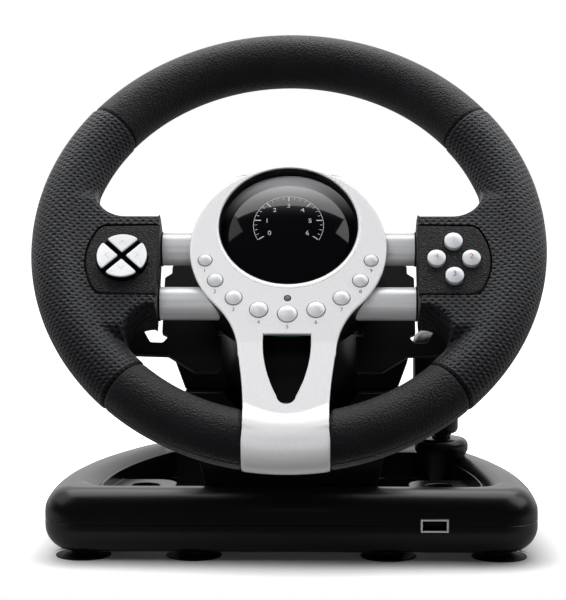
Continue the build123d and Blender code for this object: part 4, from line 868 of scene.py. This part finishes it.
# %% [markdown]
# The pad sits in a pocket in the block, with a narrow dark gap round it. The pocket is cut out of the
# skin with the pad's own outline, a little larger, and it is open towards the hub, where the pad reaches
# the block's end.

# %% Pads' outline and the two grips
PAD_IN, PAD_OUT, PAD_HALF, PAD_BOW = 62.0, 97.0, 21.0, 6.5
POCKET_FLOOR = 9.9
OVER_ALL = 22.0


def pad_outline(grow, past=0.0):
    """Straight inner end, top and foot that spread a little outwards, and a bowed outer side."""
    low, high = SPOKE_V - PAD_HALF - grow, SPOKE_V + PAD_HALF + grow
    bow = np.linspace(-1, 1, 9)
    outer = np.stack([PAD_OUT + grow - PAD_BOW * bow**2, SPOKE_V + (PAD_HALF - 1.5 + grow) * bow], -1)
    inner = np.array([(PAD_IN - past, high - 1.2), (PAD_IN - past, low + 1.2)])
    corners = np.vstack([inner, outer])
    radii = [1.2, 1.2, 6.0] + [9.0] * 7 + [6.0]
    return rounded(corners, radii)


pocket = cutter(pad_outline(0.55, 2.0), POCKET_FLOOR, OVER_ALL)
for side, mirrored in (("right", False), ("left", True)):
    skin = add("grip_skin_" + side, [grip_sheet], "wheel", "leather_perforated", grip_leather,
               ["grip_" + side], [grip_map], mirrored)
    cut(skin, [pocket * [-1, 1, 1] if mirrored else pocket])
    print("grip", side, "has", len(skin.data.polygons), "faces")

# %% [markdown]
# ## Pads and keys
#
# A pad is a plate with a soft edge and openings for its keys. The left pad has one round opening for the
# four keys of the direction pad, and the right one has four small ones. Both are cut after the plate is
# made, with round cutters.

# %% Pads
KEY_U = 79.2
PAD_TOP = 12.3
ACTION_HOLE_R, DPAD_HOLE_R, HOLE_FOOT = 4.85, 12.5, 5.0
ACTIONS = {"top": (0.0, 9.8), "left": (-8.3, 0.0), "right": (8.3, 0.0), "bottom": (0.0, -9.8)}
pad_sheet = plate(pad_outline(0.0), POCKET_FLOOR + 0.05, PAD_TOP, 1.1)

right_circles = [circle(ACTION_HOLE_R, KEY_U + du, SPOKE_V + dv, 40) for du, dv in ACTIONS.values()]
right_holes = [cutter(ring, HOLE_FOOT, OVER_ALL) for ring in right_circles]
left_holes = [cutter(circle(DPAD_HOLE_R, -KEY_U, SPOKE_V, 72), HOLE_FOOT, OVER_ALL)]
for side, holes in (("right", right_holes), ("left", left_holes)):
    pad = add("pad_face_" + side, [pad_sheet], "wheel", "pad_face", pad_grain, ["pad_" + side],
              mirrored=side == "left")
    cut(pad, holes)
    bevelled(pad, 0.3, 50)
    settle(pad, 40)
    print("pad", side, "has", len(pad.data.polygons), "faces")

# %% [markdown]
# Each direction key is a quarter of a disc: a glossy white cap on a black stem. The arc and the two
# straight sides are one polygon, and its corners are rounded. The cap is slightly crowned and highest in
# the middle, as a thumb rocks over all four. A faint chevron on each points the way it goes.

# %% Direction keys
KEY_TOP, KEY_FOOT, KEY_CROWN = PAD_TOP + 3.6, 8.2, 0.25
SECTOR_R, SECTOR_TIP, SECTOR_HALF = 12.0, 1.9, 38.5
swing = np.radians(np.linspace(-SECTOR_HALF, SECTOR_HALF, 13))
sector = np.vstack([[(SECTOR_TIP, 0.0)], SECTOR_R * unit(swing)])
sector_radii = [0.5, 0.9] + [8.0] * 11 + [0.9]
for name, angle in {"right": 0, "up": 90, "left": 180, "down": 270}.items():
    c, s = math.cos(math.radians(angle)), math.sin(math.radians(angle))
    around = np.array([[c, s], [-s, c]])
    outline = rounded(sector, sector_radii, 0.35) @ around + [-KEY_U, SPOKE_V]
    cap = plate(outline, KEY_TOP - 1.3, KEY_TOP, 0.55, KEY_CROWN)
    add("dpad_cap_" + name, [cap], "dpad_" + name, "key_white", key_white, ["dpad_" + name])
    stem_outline = rounded(sector * 0.965, sector_radii, 0.35) @ around + [-KEY_U, SPOKE_V]
    stem = plate(stem_outline, KEY_FOOT, KEY_TOP - 1.2, 0.1)
    add("dpad_stem_" + name, [stem], "dpad_" + name, "matt_black", matt_black)
    chevron = np.array([[(6.0, 1.6), (7.9, 0.0), (6.0, -1.6)], [(6.35, 1.6), (8.25, 0.0), (6.35, -1.6)]])
    chevron = chevron @ around + [-KEY_U, SPOKE_V]
    mark = raised(chevron, KEY_TOP + KEY_CROWN + 0.02)
    add("dpad_mark_" + name, [mark], "dpad_" + name, "key_white", print_faint)
print("direction keys stand", round(KEY_TOP - PAD_TOP, 2), "mm above the pad")


# %% [markdown]
# The round buttons are turned. A button's profile goes up its side, round a small edge and over a dome,
# which is part of a sphere. The sphere's radius follows from the button's radius and the dome's rise.

# %% Profile of a round button
def cap_height(radius, foot, rise, at_u, at_v):
    """The height of a spherical cap at u and v: foot + rise - ball + sqrt(ball^2 - distance^2)."""
    ball = (radius**2 + rise**2) / (2 * rise)
    return lambda u, v: foot + rise - ball + np.sqrt(ball**2 - (u - at_u) ** 2 - (v - at_v) ** 2)


def dome_profile(radius, foot, shoulder, rise, edge=0.35):
    """Radius and height: up the side from the foot, round the edge, over the cap."""
    inner = radius - edge * 0.6
    turn = np.linspace(0, np.pi / 2, 5)[:-1]
    bend = np.stack([inner + edge * 0.6 * np.cos(turn), shoulder - edge * (1 - np.sin(turn))], -1)
    reach = inner * np.sin(np.linspace(np.pi / 2, 0, 12))
    cap = np.stack([reach, cap_height(inner, shoulder, rise, 0.0, 0.0)(reach, 0.0)], -1)
    return np.vstack([[(0.0, foot), (radius, foot)], bend, cap])


# %% Print that follows a surface
PRINT_LIFT, INK = 0.03, 0.05


def printed(name, texts, size, height, finish, slot, body):
    """Flat text laid on the wheel, each with its middle at its (u, v), just above height(u, v)."""
    points, faces = [], []
    for text, u, v in texts:
        curve = bpy.data.curves.new(name, "FONT")
        curve.body, curve.size, curve.align_x, curve.align_y = text, size, "CENTER", "CENTER"
        curve.resolution_u = 4
        words = bpy.data.objects.new(name, curve)
        bpy.context.scene.collection.objects.link(words)
        bpy.context.view_layer.update()
        mesh = bpy.data.meshes.new_from_object(words)
        bpy.data.objects.remove(words)
        flat = np.empty(len(mesh.vertices) * 3)
        mesh.vertices.foreach_get("co", flat)
        start = sum(len(block) for block in points)
        points.append(flat.reshape(-1, 3)[:, :2] + [u, v])
        faces += [[corner + start for corner in face.vertices] for face in mesh.polygons]
    u, v = np.concatenate(points).T
    mesh = bpy.data.meshes.new(name)
    mesh.from_pydata(on_wheel(u, v, height(u, v) + PRINT_LIFT) * MM, [], faces)
    close_up(mesh)
    face_driver(mesh)
    thicken(fit(mesh, body, slot, finish), INK)


# %% Action buttons
ACTION_R, ACTION_SHOULDER, ACTION_RISE = 4.4, PAD_TOP + 1.9, 1.0
PRINTS = {"top": ("1", print_blue), "left": ("4", print_pink),
          "right": ("2", print_red), "bottom": ("3", print_blue)}
for name, (du, dv) in ACTIONS.items():
    u, v, node = KEY_U + du, SPOKE_V + dv, "action_" + name
    profile = dome_profile(ACTION_R, KEY_FOOT, ACTION_SHOULDER, ACTION_RISE)
    add(node + "_dome", [turned(profile, u, v)], node, "key_pearl", key_pearl, [node])
    text, ink = PRINTS[name]
    dome = cap_height(ACTION_R - 0.2, ACTION_SHOULDER, ACTION_RISE, u, v)
    printed(node + "_print", [(text, u, v)], 4.2, dome, ink, "key_pearl", node)
print("made", len(ACTIONS), "action buttons")

# %% [markdown]
# ## The faceplate
#
# The faceplate is one moulding: a ring round the dome, a tongue that runs down from it, and a band that
# wraps the bottom of the rim. It is drawn as one sheet. Its rows go down the ring and the tongue, bend to
# follow the circle of the rim, and then run round the tube. Its columns go from the left edge to the
# right and crowd near both edges. The sheet then gets its thickness.

# %% Outline of the faceplate
PLATE_W, FACEPLATE_WALL, RING_R, RING_V = 8.0, 2.4, 47.5, -8.3
DOME_R, DOME_V = 33.7, 4.8
SILVER_R = TUBE_R + 0.6
TONGUE_TOP, TONGUE_WAIST, TONGUE_FOOT = (26.7, -36.8), (20.1, -89.0), (19.6, -RIM_R)
TONGUE_BLEND = 40.0
TONGUE_LEAN = (TONGUE_TOP[0] - TONGUE_WAIST[0]) / (TONGUE_TOP[1] - TONGUE_WAIST[1])
FOOT_LEAN = (TONGUE_WAIST[0] - TONGUE_FOOT[0]) / (TONGUE_WAIST[1] - TONGUE_FOOT[1])


def blend_centre():
    """Centre of the concave arc that touches the tongue's side and the ring, on a line beside the side."""
    v = np.linspace(RING_V - 30, -100, 8000)
    u = TONGUE_TOP[0] + TONGUE_LEAN * (v - TONGUE_TOP[1]) + TONGUE_BLEND * math.hypot(1, TONGUE_LEAN)
    best = np.argmin(np.abs(np.hypot(u, v - RING_V) - RING_R - TONGUE_BLEND))
    return u[best], v[best]


blend_u, blend_v = blend_centre()
ring_end = RING_V + (blend_v - RING_V) * RING_R / (RING_R + TONGUE_BLEND)


def plate_half_width(v):
    """Half width: the ring's circle down to ring_end, the concave arc down to its centre, then the tongue.

    The tongue narrows fast down to its waist and slowly below it: the larger of two straight tapers."""
    ring = np.sqrt(np.clip(RING_R**2 - (v - RING_V) ** 2, 0, None))
    arc = blend_u - np.sqrt(np.clip(TONGUE_BLEND**2 - (v - blend_v) ** 2, 0, None))
    tongue = TONGUE_TOP[0] + TONGUE_LEAN * (v - TONGUE_TOP[1])
    tongue = blended(tongue, TONGUE_FOOT[0] + FOOT_LEAN * (v - TONGUE_FOOT[1]), 1.2)
    return np.where(v > ring_end, ring, np.where(v > blend_v, arc, tongue))


print("the ring ends at v", round(float(ring_end), 1), "and the tongue begins at", round(float(blend_v), 1))

# %% [markdown]
# In front the ring is flat. The tongue climbs towards the rim and meets the band in a hollow, which is
# tight in the middle and wide at the sides, so the crease there curves like a smile. The hollow is the
# smooth larger of two heights: that of the tongue and that of the tube.

# %% Front of the faceplate
CLIMB_FROM, CLIMB = -61.8, 4.2
BEND_FROM = -70
CREASE_MIDDLE, CREASE_SIDE = 0.9, 6.0
PLATE_EDGE, PLATE_EDGE_DROP = 1.0, 0.9


def tongue_height(v):
    """Height of the front at v: flat, then a straight climb."""
    return PLATE_W + CLIMB * np.clip((CLIMB_FROM - v) / (CLIMB_FROM + RIM_R), 0, None)


turn = np.linspace(0, math.acos((ring_end - RING_V) / RING_R), 110)
row_v = np.concatenate([RING_V + RING_R * np.cos(turn), np.linspace(ring_end, -RIM_R, 150)[1:]])
half_width = plate_half_width(row_v)
share = np.sin(np.linspace(-np.pi / 2, np.pi / 2, 105))
plate_u = half_width[:, None] * share
bend = np.clip((BEND_FROM - row_v) / (RIM_R + BEND_FROM), 0, 1)[:, None] ** 1.5
plate_v = row_v[:, None] + bend * (RIM_R - np.sqrt(RIM_R**2 - plate_u**2))
plate_edge = np.vstack([np.stack([half_width, row_v], -1), np.stack([-half_width, row_v], -1)[::-1]])

off_crest = np.clip(RIM_R - np.hypot(plate_u, plate_v), 0, SILVER_R)
hollow = CREASE_MIDDLE + CREASE_SIDE * np.clip(plate_u / TONGUE_FOOT[0], -1, 1) ** 2
plate_w = blended(tongue_height(plate_v), np.sqrt(SILVER_R**2 - off_crest**2), hollow)
to_edge = nearest(np.stack([plate_u, plate_v], -1), plate_edge)
edge_share = np.clip(to_edge / PLATE_EDGE, 0, 1)
rounding = (1.0 - np.sqrt(edge_share * (2 - edge_share))) * np.clip((row_v[:, None] + 108) / 10, 0, 1)
plate_w = plate_w - PLATE_EDGE_DROP * rounding
print("the front climbs to w", round(float(plate_w.max()), 2))

# %% The band round the rim, and the whole sheet
theta = np.radians(np.linspace(90, -178, 66))[1:, None]
widen = np.clip((np.pi / 2 - theta) / 0.5, 0, 1)
band_u = (TONGUE_FOOT[0] + (WRAP_CUT - 0.25 - TONGUE_FOOT[0]) * widen) * share
fall = 0.35 * np.clip((np.abs(share) - 0.93) / 0.07, 0, 1) ** 2 * widen
band_v = -np.sqrt((RIM_R + (SILVER_R - fall) * np.cos(theta)) ** 2 - band_u**2)
band_w = (SILVER_R - fall) * np.sin(theta)
plate_sheet = on_wheel(*map(np.vstack, ((plate_u, band_u), (plate_v, band_v), (plate_w, band_w))))
faceplate = sheet_mesh("faceplate_skin", [plate_sheet])
face_driver(faceplate, len(faceplate.polygons) // 4)
faceplate = fit(faceplate, "wheel", "satin_silver", faceplate_silver, ["faceplate"])
thicken(faceplate, FACEPLATE_WALL)
print("the sheet has", plate_sheet.shape[0], "rows and", plate_sheet.shape[1], "columns")

# %% [markdown]
# Openings come next: the dome's, the slot in the tongue, nine button holes and one for the lamp. Light
# catches the rounded lips of the two large ones. So each of these is cut a little larger than it is, and
# a lip with a rounded inner edge fills the difference.


# %% Openings
def arc_through(first, middle, last, count=24):
    """Points along the circle through three points. Its centre is as far from each of the three."""
    first, middle, last = (np.array(point, float) for point in (first, middle, last))
    sides = 2 * np.array([middle - first, last - first])
    centre = np.linalg.solve(sides, [middle @ middle - first @ first, last @ last - first @ first])
    angles = np.unwrap([math.atan2(v, u) for u, v in (first - centre, middle - centre, last - centre)])
    return centre + np.hypot(*(first - centre)) * unit(np.linspace(angles[0], angles[2], count))


def slot_outline(grow=0.0):
    """The slot in the tongue, anticlockwise: a flat top, two bowed sides and a round foot."""
    top, foot = -57.2 + grow, -96.3 - grow
    corner, middle, low = (11.2 + grow, top), (9.6 + grow * 0.8, -76.8), (4.4 + grow, foot + 4.2)
    mirror = np.array([-1, 1])
    left = arc_through(corner, middle, low)[:-1] * mirror
    foot_arc = arc_through((-low[0], low[1]), (0.0, foot), low)
    right = arc_through(low, middle, corner)[1:]
    return spaced(np.vstack([left, foot_arc, right]), 0.45)


BUTTON_RING, BUTTON_CIRCLE, BUTTON_MIDDLE = 0.35, 41.4, -4.9
BUTTONS = []
for radius, angle in zip([3.25, 3.65, 3.93, 4.25, 4.55, 4.25, 3.93, 3.65, 3.25],
                         [-74.2, -56.8, -38.2, -19.1, 0.0, 19.1, 38.2, 56.8, 74.2]):
    BUTTONS.append((radius, *(BUTTON_CIRCLE * unit(math.radians(angle - 90)) + [0.0, BUTTON_MIDDLE])))
LAMP_R, LAMP_V = 1.45, -37.6
DOME_LIP, DOME_LIP_DROP, DOME_LIP_FOOT = 3.2, 1.5, 3.2
SLOT_LIP, SLOT_LIP_DROP, SLOT_LIP_FOOT = 0.6, 0.7, 5.9


def dome_outline(grow=0.0):
    """The dome's opening, grown by all of grow at its foot and by a tenth of it at its top."""
    ring = circle(1.0, count=128)
    return (DOME_R + grow * (0.55 - 0.45 * ring[:, 1:])) * ring + [0.0, DOME_V]


cutters = [cutter(dome_outline(DOME_LIP), 0.0, OVER_ALL), cutter(slot_outline(SLOT_LIP), 0.0, OVER_ALL)]
for radius, u, v in BUTTONS:
    cutters.append(cutter(circle(radius + BUTTON_RING, u, v, 48), 0.0, OVER_ALL))
cutters.append(cutter(circle(LAMP_R + BUTTON_RING, 0, LAMP_V, 32), 0.0, OVER_ALL))
cut(faceplate, cutters)
print("the faceplate has", len(faceplate.data.polygons), "faces")


# %% Lips of the dome's opening and the slot
def lip_sheet(inner, outer, drop, foot):
    """Lip: from the outer outline over a quarter of an ellipse, drop deep, and down to foot."""
    turn = np.linspace(0, np.pi / 2, 9)[:, None, None]
    rows = inner + (outer - inner) * (1 - np.sin(turn))
    height = tongue_height(rows[..., 1]) - drop * (1 - np.cos(turn[..., 0]))
    rows = np.concatenate([rows, rows[-1:], rows[:1], rows[:1]])
    height = np.concatenate([height, 0 * height[:2] + foot, height[:1]])
    return raised(rows, height)


slot_outer = slot_outline() + SLOT_LIP * outward(slot_outline())
lips = [lip_sheet(dome_outline(), dome_outline(DOME_LIP), DOME_LIP_DROP, DOME_LIP_FOOT),
        lip_sheet(slot_outline(), slot_outer, SLOT_LIP_DROP, SLOT_LIP_FOOT)]
add("faceplate_lips", lips, "wheel", "satin_silver", faceplate_silver)
print("the lips are", DOME_LIP, "and", SLOT_LIP, "mm wide")

# %% [markdown]
# ## The dome
#
# The dome is a gloss black lens, set deep in the ring. The wall above it shows as a black crescent. The
# lens is part of a sphere, found from its radius and its rise. Its colour is painted grey at its upper
# edge, a painted reflection, and black from the middle down. A plain scale of ticks and numbers is
# printed on it, and the print follows the sphere too.

# %% Lens and seat
LENS_R, SEAT_R = DOME_R - 0.5, 28.5
LENS_TOP, SEAT_W = wheel_box("dome_lens")[1][2], PLATE_W - 6.4
lens_height = cap_height(LENS_R, SEAT_W, LENS_TOP - SEAT_W, 0.0, DOME_V)
reach = LENS_R * np.sin(np.linspace(np.pi / 2, 0, 30))
dome = np.stack([reach, lens_height(reach, DOME_V)], -1)
dome = np.vstack([[(0, SEAT_W - 1), (LENS_R, SEAT_W - 1)], dome])
# The lens's base colour is grey towards its upper edge: a painted reflection.
lens_painted_reflection = Finish("lens_painted_reflection", roughness=0.05)
product = {"operation": "DOT_PRODUCT"}
up = lens_painted_reflection.node("ShaderNodeVectorMath", product, {0: lens_painted_reflection.place(), 1: tuple(AXIS_V / MM)})
painted_reflection_share = (lens_painted_reflection.number(up, 1) - float(CENTRE @ AXIS_V)).step(DOME_V, DOME_V + LENS_R)
lens_painted_reflection.colour(painted_reflection_share * painted_reflection_share, (0.0015, 0.0012, 0.002), (0.36, 0.36, 0.375))
add("dome_glass", [turned(dome, 0, DOME_V, 144)], "wheel", "gloss_black", lens_painted_reflection, ["dome_lens"])
low, high = wheel_box("dome_bezel")
seat = [(SEAT_R, low[2]), (high[0], low[2]), (high[0], high[2] - 0.3), (high[0] - 0.2, high[2])]
seat += [(LENS_R + 0.3, high[2] - 0.2), (LENS_R + 0.05, SEAT_W), (SEAT_R, SEAT_W - 0.2), (SEAT_R, low[2])]
add("dome_seat", [turned(seat, 0, DOME_V, 144)], "wheel", "gloss_black", bezel_and_gap_shade_black, ["dome_bezel"])
print("the lens rises", round(float(LENS_TOP - SEAT_W), 1), "mm over a radius of", round(float(LENS_R), 1))

# %% The scale on the lens
TICK_OUT, NUMBER_R = 16.6, 10.6
LONG_TICK, SHORT_TICK = (13.6, 0.26), (15.2, 0.13)
tick_angles = np.radians(np.linspace(210, -30, 25))
strips = []
for number, angle in enumerate(tick_angles):
    start, half = LONG_TICK if number % 4 == 0 else SHORT_TICK
    radius, side = np.linspace(start, TICK_OUT, 5)[:, None], np.array([[-half, half]])
    u = radius * math.cos(angle) - side * math.sin(angle)
    v = radius * math.sin(angle) + side * math.cos(angle)
    strips.append((u, DOME_V + v))
around = np.linspace(tick_angles[0], tick_angles[-1], 97)
radius = TICK_OUT + np.array([[0.3], [0.55]])
strips.append((radius * np.cos(around), DOME_V + radius * np.sin(around)))
scale = [on_wheel(u, v, lens_height(u, v) + PRINT_LIFT) for u, v in strips]
add("dome_scale", scale, "wheel", "gloss_black", print_pale)
texts = [(str(n), *(NUMBER_R * unit(angle) + [0.0, DOME_V])) for n, angle in enumerate(tick_angles[::4])]
printed("dome_numbers", texts, 3.6, lens_height, print_pale, "gloss_black", "wheel")
print("the scale has", len(tick_angles), "ticks")

# %% [markdown]
# ## Hub buttons and lamp
#
# Nine silver buttons stand in an arc under the dome, the middle one largest. Each is a dome in a hole
# that is a little wider, and a near-black ring lines the hole almost up to the front: painted shade in
# the gap round the button. A number is printed under each. The lamp is a small lens with such a ring of
# its own.

# %% Hub buttons
BUTTON_FOOT, BUTTON_SHOULDER, BUTTON_RISE = 3.7, PLATE_W + 0.55, 1.25
RING_FOOT, RING_TOP, RING_CLEAR = 4.0, PLATE_W - 0.12, 0.04
for number, (radius, u, v) in enumerate(BUTTONS, 1):
    profile = dome_profile(radius, BUTTON_FOOT, BUTTON_SHOULDER, BUTTON_RISE)
    name, node = f"hub_button_dome_{number}", f"hub_button_{number}"
    add(name, [turned(profile, u, v)], node, "button_silver", button_silver, [node])
# These near-black rings fill the gaps round the buttons and the lamp: painted shade.
gap_shade_sheets = []
for radius, u, v in [*BUTTONS, (LAMP_R, 0.0, LAMP_V)]:
    inner, outer = radius + RING_CLEAR, radius + BUTTON_RING
    wall = [(inner, RING_FOOT), (outer, RING_FOOT), (outer, RING_TOP), (inner, RING_TOP), (inner, RING_FOOT)]
    gap_shade_sheets.append(turned(wall, u, v))
add("button_gap_shade_rings", gap_shade_sheets, "wheel", "matt_black", bezel_and_gap_shade_black)
labels = [(str(n), u, v - radius - 2.7) for n, (radius, u, v) in enumerate(BUTTONS, 1)]
printed("button_numbers", labels, 2.9, lambda u, v: PLATE_W + 0 * u, print_grey, "satin_silver", "wheel")
lamp = dome_profile(LAMP_R, 5.0, PLATE_W - 0.2, 0.4, 0.2)
add("lamp_lens", [turned(lamp, 0, LAMP_V, 32)], "wheel", "light_red", lamp_red, ["status_light"])
print("made", len(labels), "hub buttons")

# %% [markdown]
# ## Hub cover, tubes, column and base
#
# The rear cover, the spoke tubes, the column and the base are mouldings and metal with the right shape
# already. Each gets a smoothed copy. The bevel on its edges is as wide as the edge of the real moulding
# looks: wide on the base's openings, fine on the port's frame.

# %% Housings
BODY_OF = {node: body for body, nodes in frame["record"]["behaviour"]["bodies"].items() for node in nodes}
port_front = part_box("usb_socket")[0].y / MM
# The socket's metal turns near black from a little way in: the tongue's own black, and painted shade inside the
# socket.
socket_metal = Finish("socket_metal", metallic=0.5)
split = socket_metal.node("ShaderNodeSeparateXYZ", None, {0: socket_metal.place(1 / MM)})
black_tongue_and_painted_shade = (socket_metal.number(split, 1) - port_front).step(0.3, 1.4)
socket_metal.colour(black_tongue_and_painted_shade, (0.75, 0.75, 0.77), (0.004, 0.004, 0.005))
socket_metal.set("Roughness", 0.2 + 0.1 * socket_metal.noise(0.3))
HOUSINGS = {
    "hub_rear_cover": (shell_black, 0.5),
    "spoke_tubes": (tube_metal, 0.25),
    "spoke_collars": (matt_black, 0.3),
    "paddle_left": (matt_black, 0.4),
    "paddle_right": (matt_black, 0.4),
    "column_upper_shell": (shell_black, 0.8),
    "column_lower_shell": (shell_black, 0.8),
    "base_upper_shell": (shell_black, 0.45),
    "base_lower_shell": (shell_black, 0.45),
    "shifter_boss": (shell_black, 0.9),
    "shift_lever": (matt_black, 0.3),
    "shift_knob": (shell_black, 1.2),
    "usb_socket": (socket_metal, 0.12),
    "pedal_socket": (matt_black, 0.2),
    "cord_gland": (rubber, 0.3),
}
for node, (finish, width) in HOUSINGS.items():
    piece = smoothed(node, BODY_OF[node], SLOTS[node], finish, width)
    print(node, "has", len(piece.data.polygons), "faces")


# %% [markdown]
# ## Suction cups
#
# Six suction cups hold the base to a table. Each is thin flared rubber: a neck that swells into a skirt,
# with a soft bead at its edge and a hollow underneath. The profile is turned about an upright axis.

# %% Suction cups
def upright(x, y, z):
    """Points in the row frame for arrays of x, y and z."""
    return np.stack([x, y, z], -1)


cup_points = node_points("suction_cups")
on_table = cup_points[cup_points[:, 2] < 0.1]
CUP_R, NECK_R, SKIRT_H = 14.7, 7.25, 2.8
front_row, rear_row = on_table[on_table[:, 1] < 60], on_table[on_table[:, 1] > 60]
front_y, rear_y = front_row[:, 1].min() + CUP_R, rear_row[:, 1].max() - CUP_R
outer_x, inner_x = front_row[:, 0].max() - CUP_R, front_row[front_row[:, 0] > 0, 0].min() + CUP_R
rear_x = rear_row[:, 0].max() - CUP_R
flare = np.linspace(0, 1, 12)
skirt = np.stack([CUP_R - 0.2 - (CUP_R - 0.2 - NECK_R) * flare, 0.8 + (SKIRT_H - 0.8) * flare**2.2], -1)
bead = [(0.0, 1.9), (6.0, 1.6), (CUP_R - 1.2, 0.02), (CUP_R - 0.3, 0.05), (CUP_R, 0.35), (CUP_R - 0.1, 0.65)]
neck = [(NECK_R, 3.2), (NECK_R, 4.7), (3.4, 4.7), (3.4, 7.4), (0.0, 7.4)]
cup = np.vstack([bead, skirt, neck])
cup_places = ((outer_x, front_y), (inner_x, front_y), (rear_x, rear_y))
cups = [turned(cup, side * x, y, 56, upright) for side in (-1, 1) for x, y in cup_places]
add("cup_rubbers", cups, "base", "rubber_black", rubber, ["suction_cups"])
print("cups stand at", [round(float(c), 1) for c in (outer_x, inner_x, rear_x)], "mm from the middle")

# %% [markdown]
# ## Stage and light
#
# The wheel stands on a white table in front of a white backdrop. Gloss black plastic shows only what it
# reflects, so the surround matters as much as the materials. It is bright behind the wheel, and dark
# overhead and on the camera's side, as in a room where only the backdrop is lit. The table ends a little
# way in front of the wheel, or its reflection would turn the front of the base grey.
#
# Seen directly, the table glows a little away from the wheel, so that it is as white as the backdrop and
# no edge shows between them. Close to the base it doesn't, so that the wheel keeps its shadow.

# %% Table
WIDE, FRONT, BACK = 4.0, BASE_FRONT - 0.05, 6.0
table = bpy.data.meshes.new("table")
table_corners = [(-WIDE, FRONT, 0), (WIDE, FRONT, 0), (WIDE, BACK, 0), (-WIDE, BACK, 0)]
table.from_pydata(table_corners, [], [(0, 1, 2, 3)])
table = bpy.data.objects.new("table", table)
bpy.context.scene.collection.objects.link(table)
white_table = Finish("white_table", specular_ior_level=0.2, roughness=0.7, emission_strength=1.0)
foot_low, foot_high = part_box("base_lower_shell")
foot_middle, foot_half = (foot_low + foot_high) / 2, (foot_high - foot_low) / 2


def vector_maths(operation, first, second=(0.0, 0.0, 0.0)):
    return white_table.node("ShaderNodeVectorMath", {"operation": operation}, {0: first, 1: second}).outputs


from_middle = vector_maths("SUBTRACT", white_table.place(), (foot_middle.x, foot_middle.y, 0.0))[0]
both_sides = vector_maths("ABSOLUTE", from_middle)[0]
outside = vector_maths("SUBTRACT", both_sides, (foot_half.x - 0.02, foot_half.y - 0.02, 0.0))[0]
away = Number(white_table, vector_maths("LENGTH", vector_maths("MAXIMUM", outside)[0])[1])
direct = white_table.number(white_table.node("ShaderNodeLightPath"))
white_table.colour(direct, (0.3, 0.3, 0.3), (0.74, 0.74, 0.74))
white_table.colour(direct * away.step(0.01, 0.07), (0.0, 0.0, 0.0), (0.9, 0.9, 0.9), "Emission Color")
table.data.materials.append(white_table.material)
table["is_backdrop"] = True
print("the table is", 2 * WIDE, "m wide")

# %% Surround
world = bpy.data.worlds.new("surround")
bpy.context.scene.world = world
world.use_nodes = True
sky = Nodes(world.node_tree)
way = sky.node("ShaderNodeTexCoord").outputs["Generated"]
behind = sky.number(sky.node("ShaderNodeSeparateXYZ", None, {0: way}), 1)
seen = sky.number(sky.node("ShaderNodeLightPath"))
background = sky.tree.nodes["Background"]
background.inputs["Color"].default_value = (1.0, 1.0, 1.0, 1.0)
sky.feed(background.inputs["Strength"], (0.97 * behind.step(0.0, 0.85) + 0.03).maths("MAXIMUM", seen))
print("the surround is set")


# %% Lights
def soft_box(name, place, aim, width, height, power, mirrored=True):
    """A rectangular area light that faces aim. Without mirrored, gloss doesn't show it."""
    light = bpy.data.lights.new(name, "AREA")
    light.shape, light.size, light.size_y, light.energy = "RECTANGLE", width, height, power
    lamp = bpy.data.objects.new(name, light)
    lamp.location = place
    lamp.rotation_euler = (Vector(place) - Vector(aim)).to_track_quat("Z", "Y").to_euler()
    lamp.visible_glossy = mirrored
    bpy.context.scene.collection.objects.link(lamp)


AIM = (0.0, 0.0, 0.13)
soft_box("rear_box", (0.0, 0.35, 1.1), AIM, 1.3, 1.0, 10.0)
soft_box("front_box", (-0.55, -0.9, 1.2), AIM, 1.0, 0.7, 13.5, mirrored=False)
soft_box("low_box", (0.0, -1.3, 0.1), AIM, 1.2, 0.4, 6.5, mirrored=False)
soft_box("left_box", (-1.0, 0.0, 1.0), AIM, 0.9, 0.9, 2.2)
soft_box("right_box", (1.0, -0.05, 1.0), AIM, 0.9, 0.9, 5.0)
print("five soft boxes are set")

# %% [markdown]
# ## Sizes
#
# The last step works out two boxes, the CAD model's and the finished model's, and prints them. The
# finished one has to stay inside.

# %% Work out the sizes and finish
visual_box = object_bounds()
boxes = {"cad": [list(corner) for corner in cad_box], "visual": [list(corner) for corner in visual_box]}
print("CAD box", boxes["cad"], "visual box", boxes["visual"])
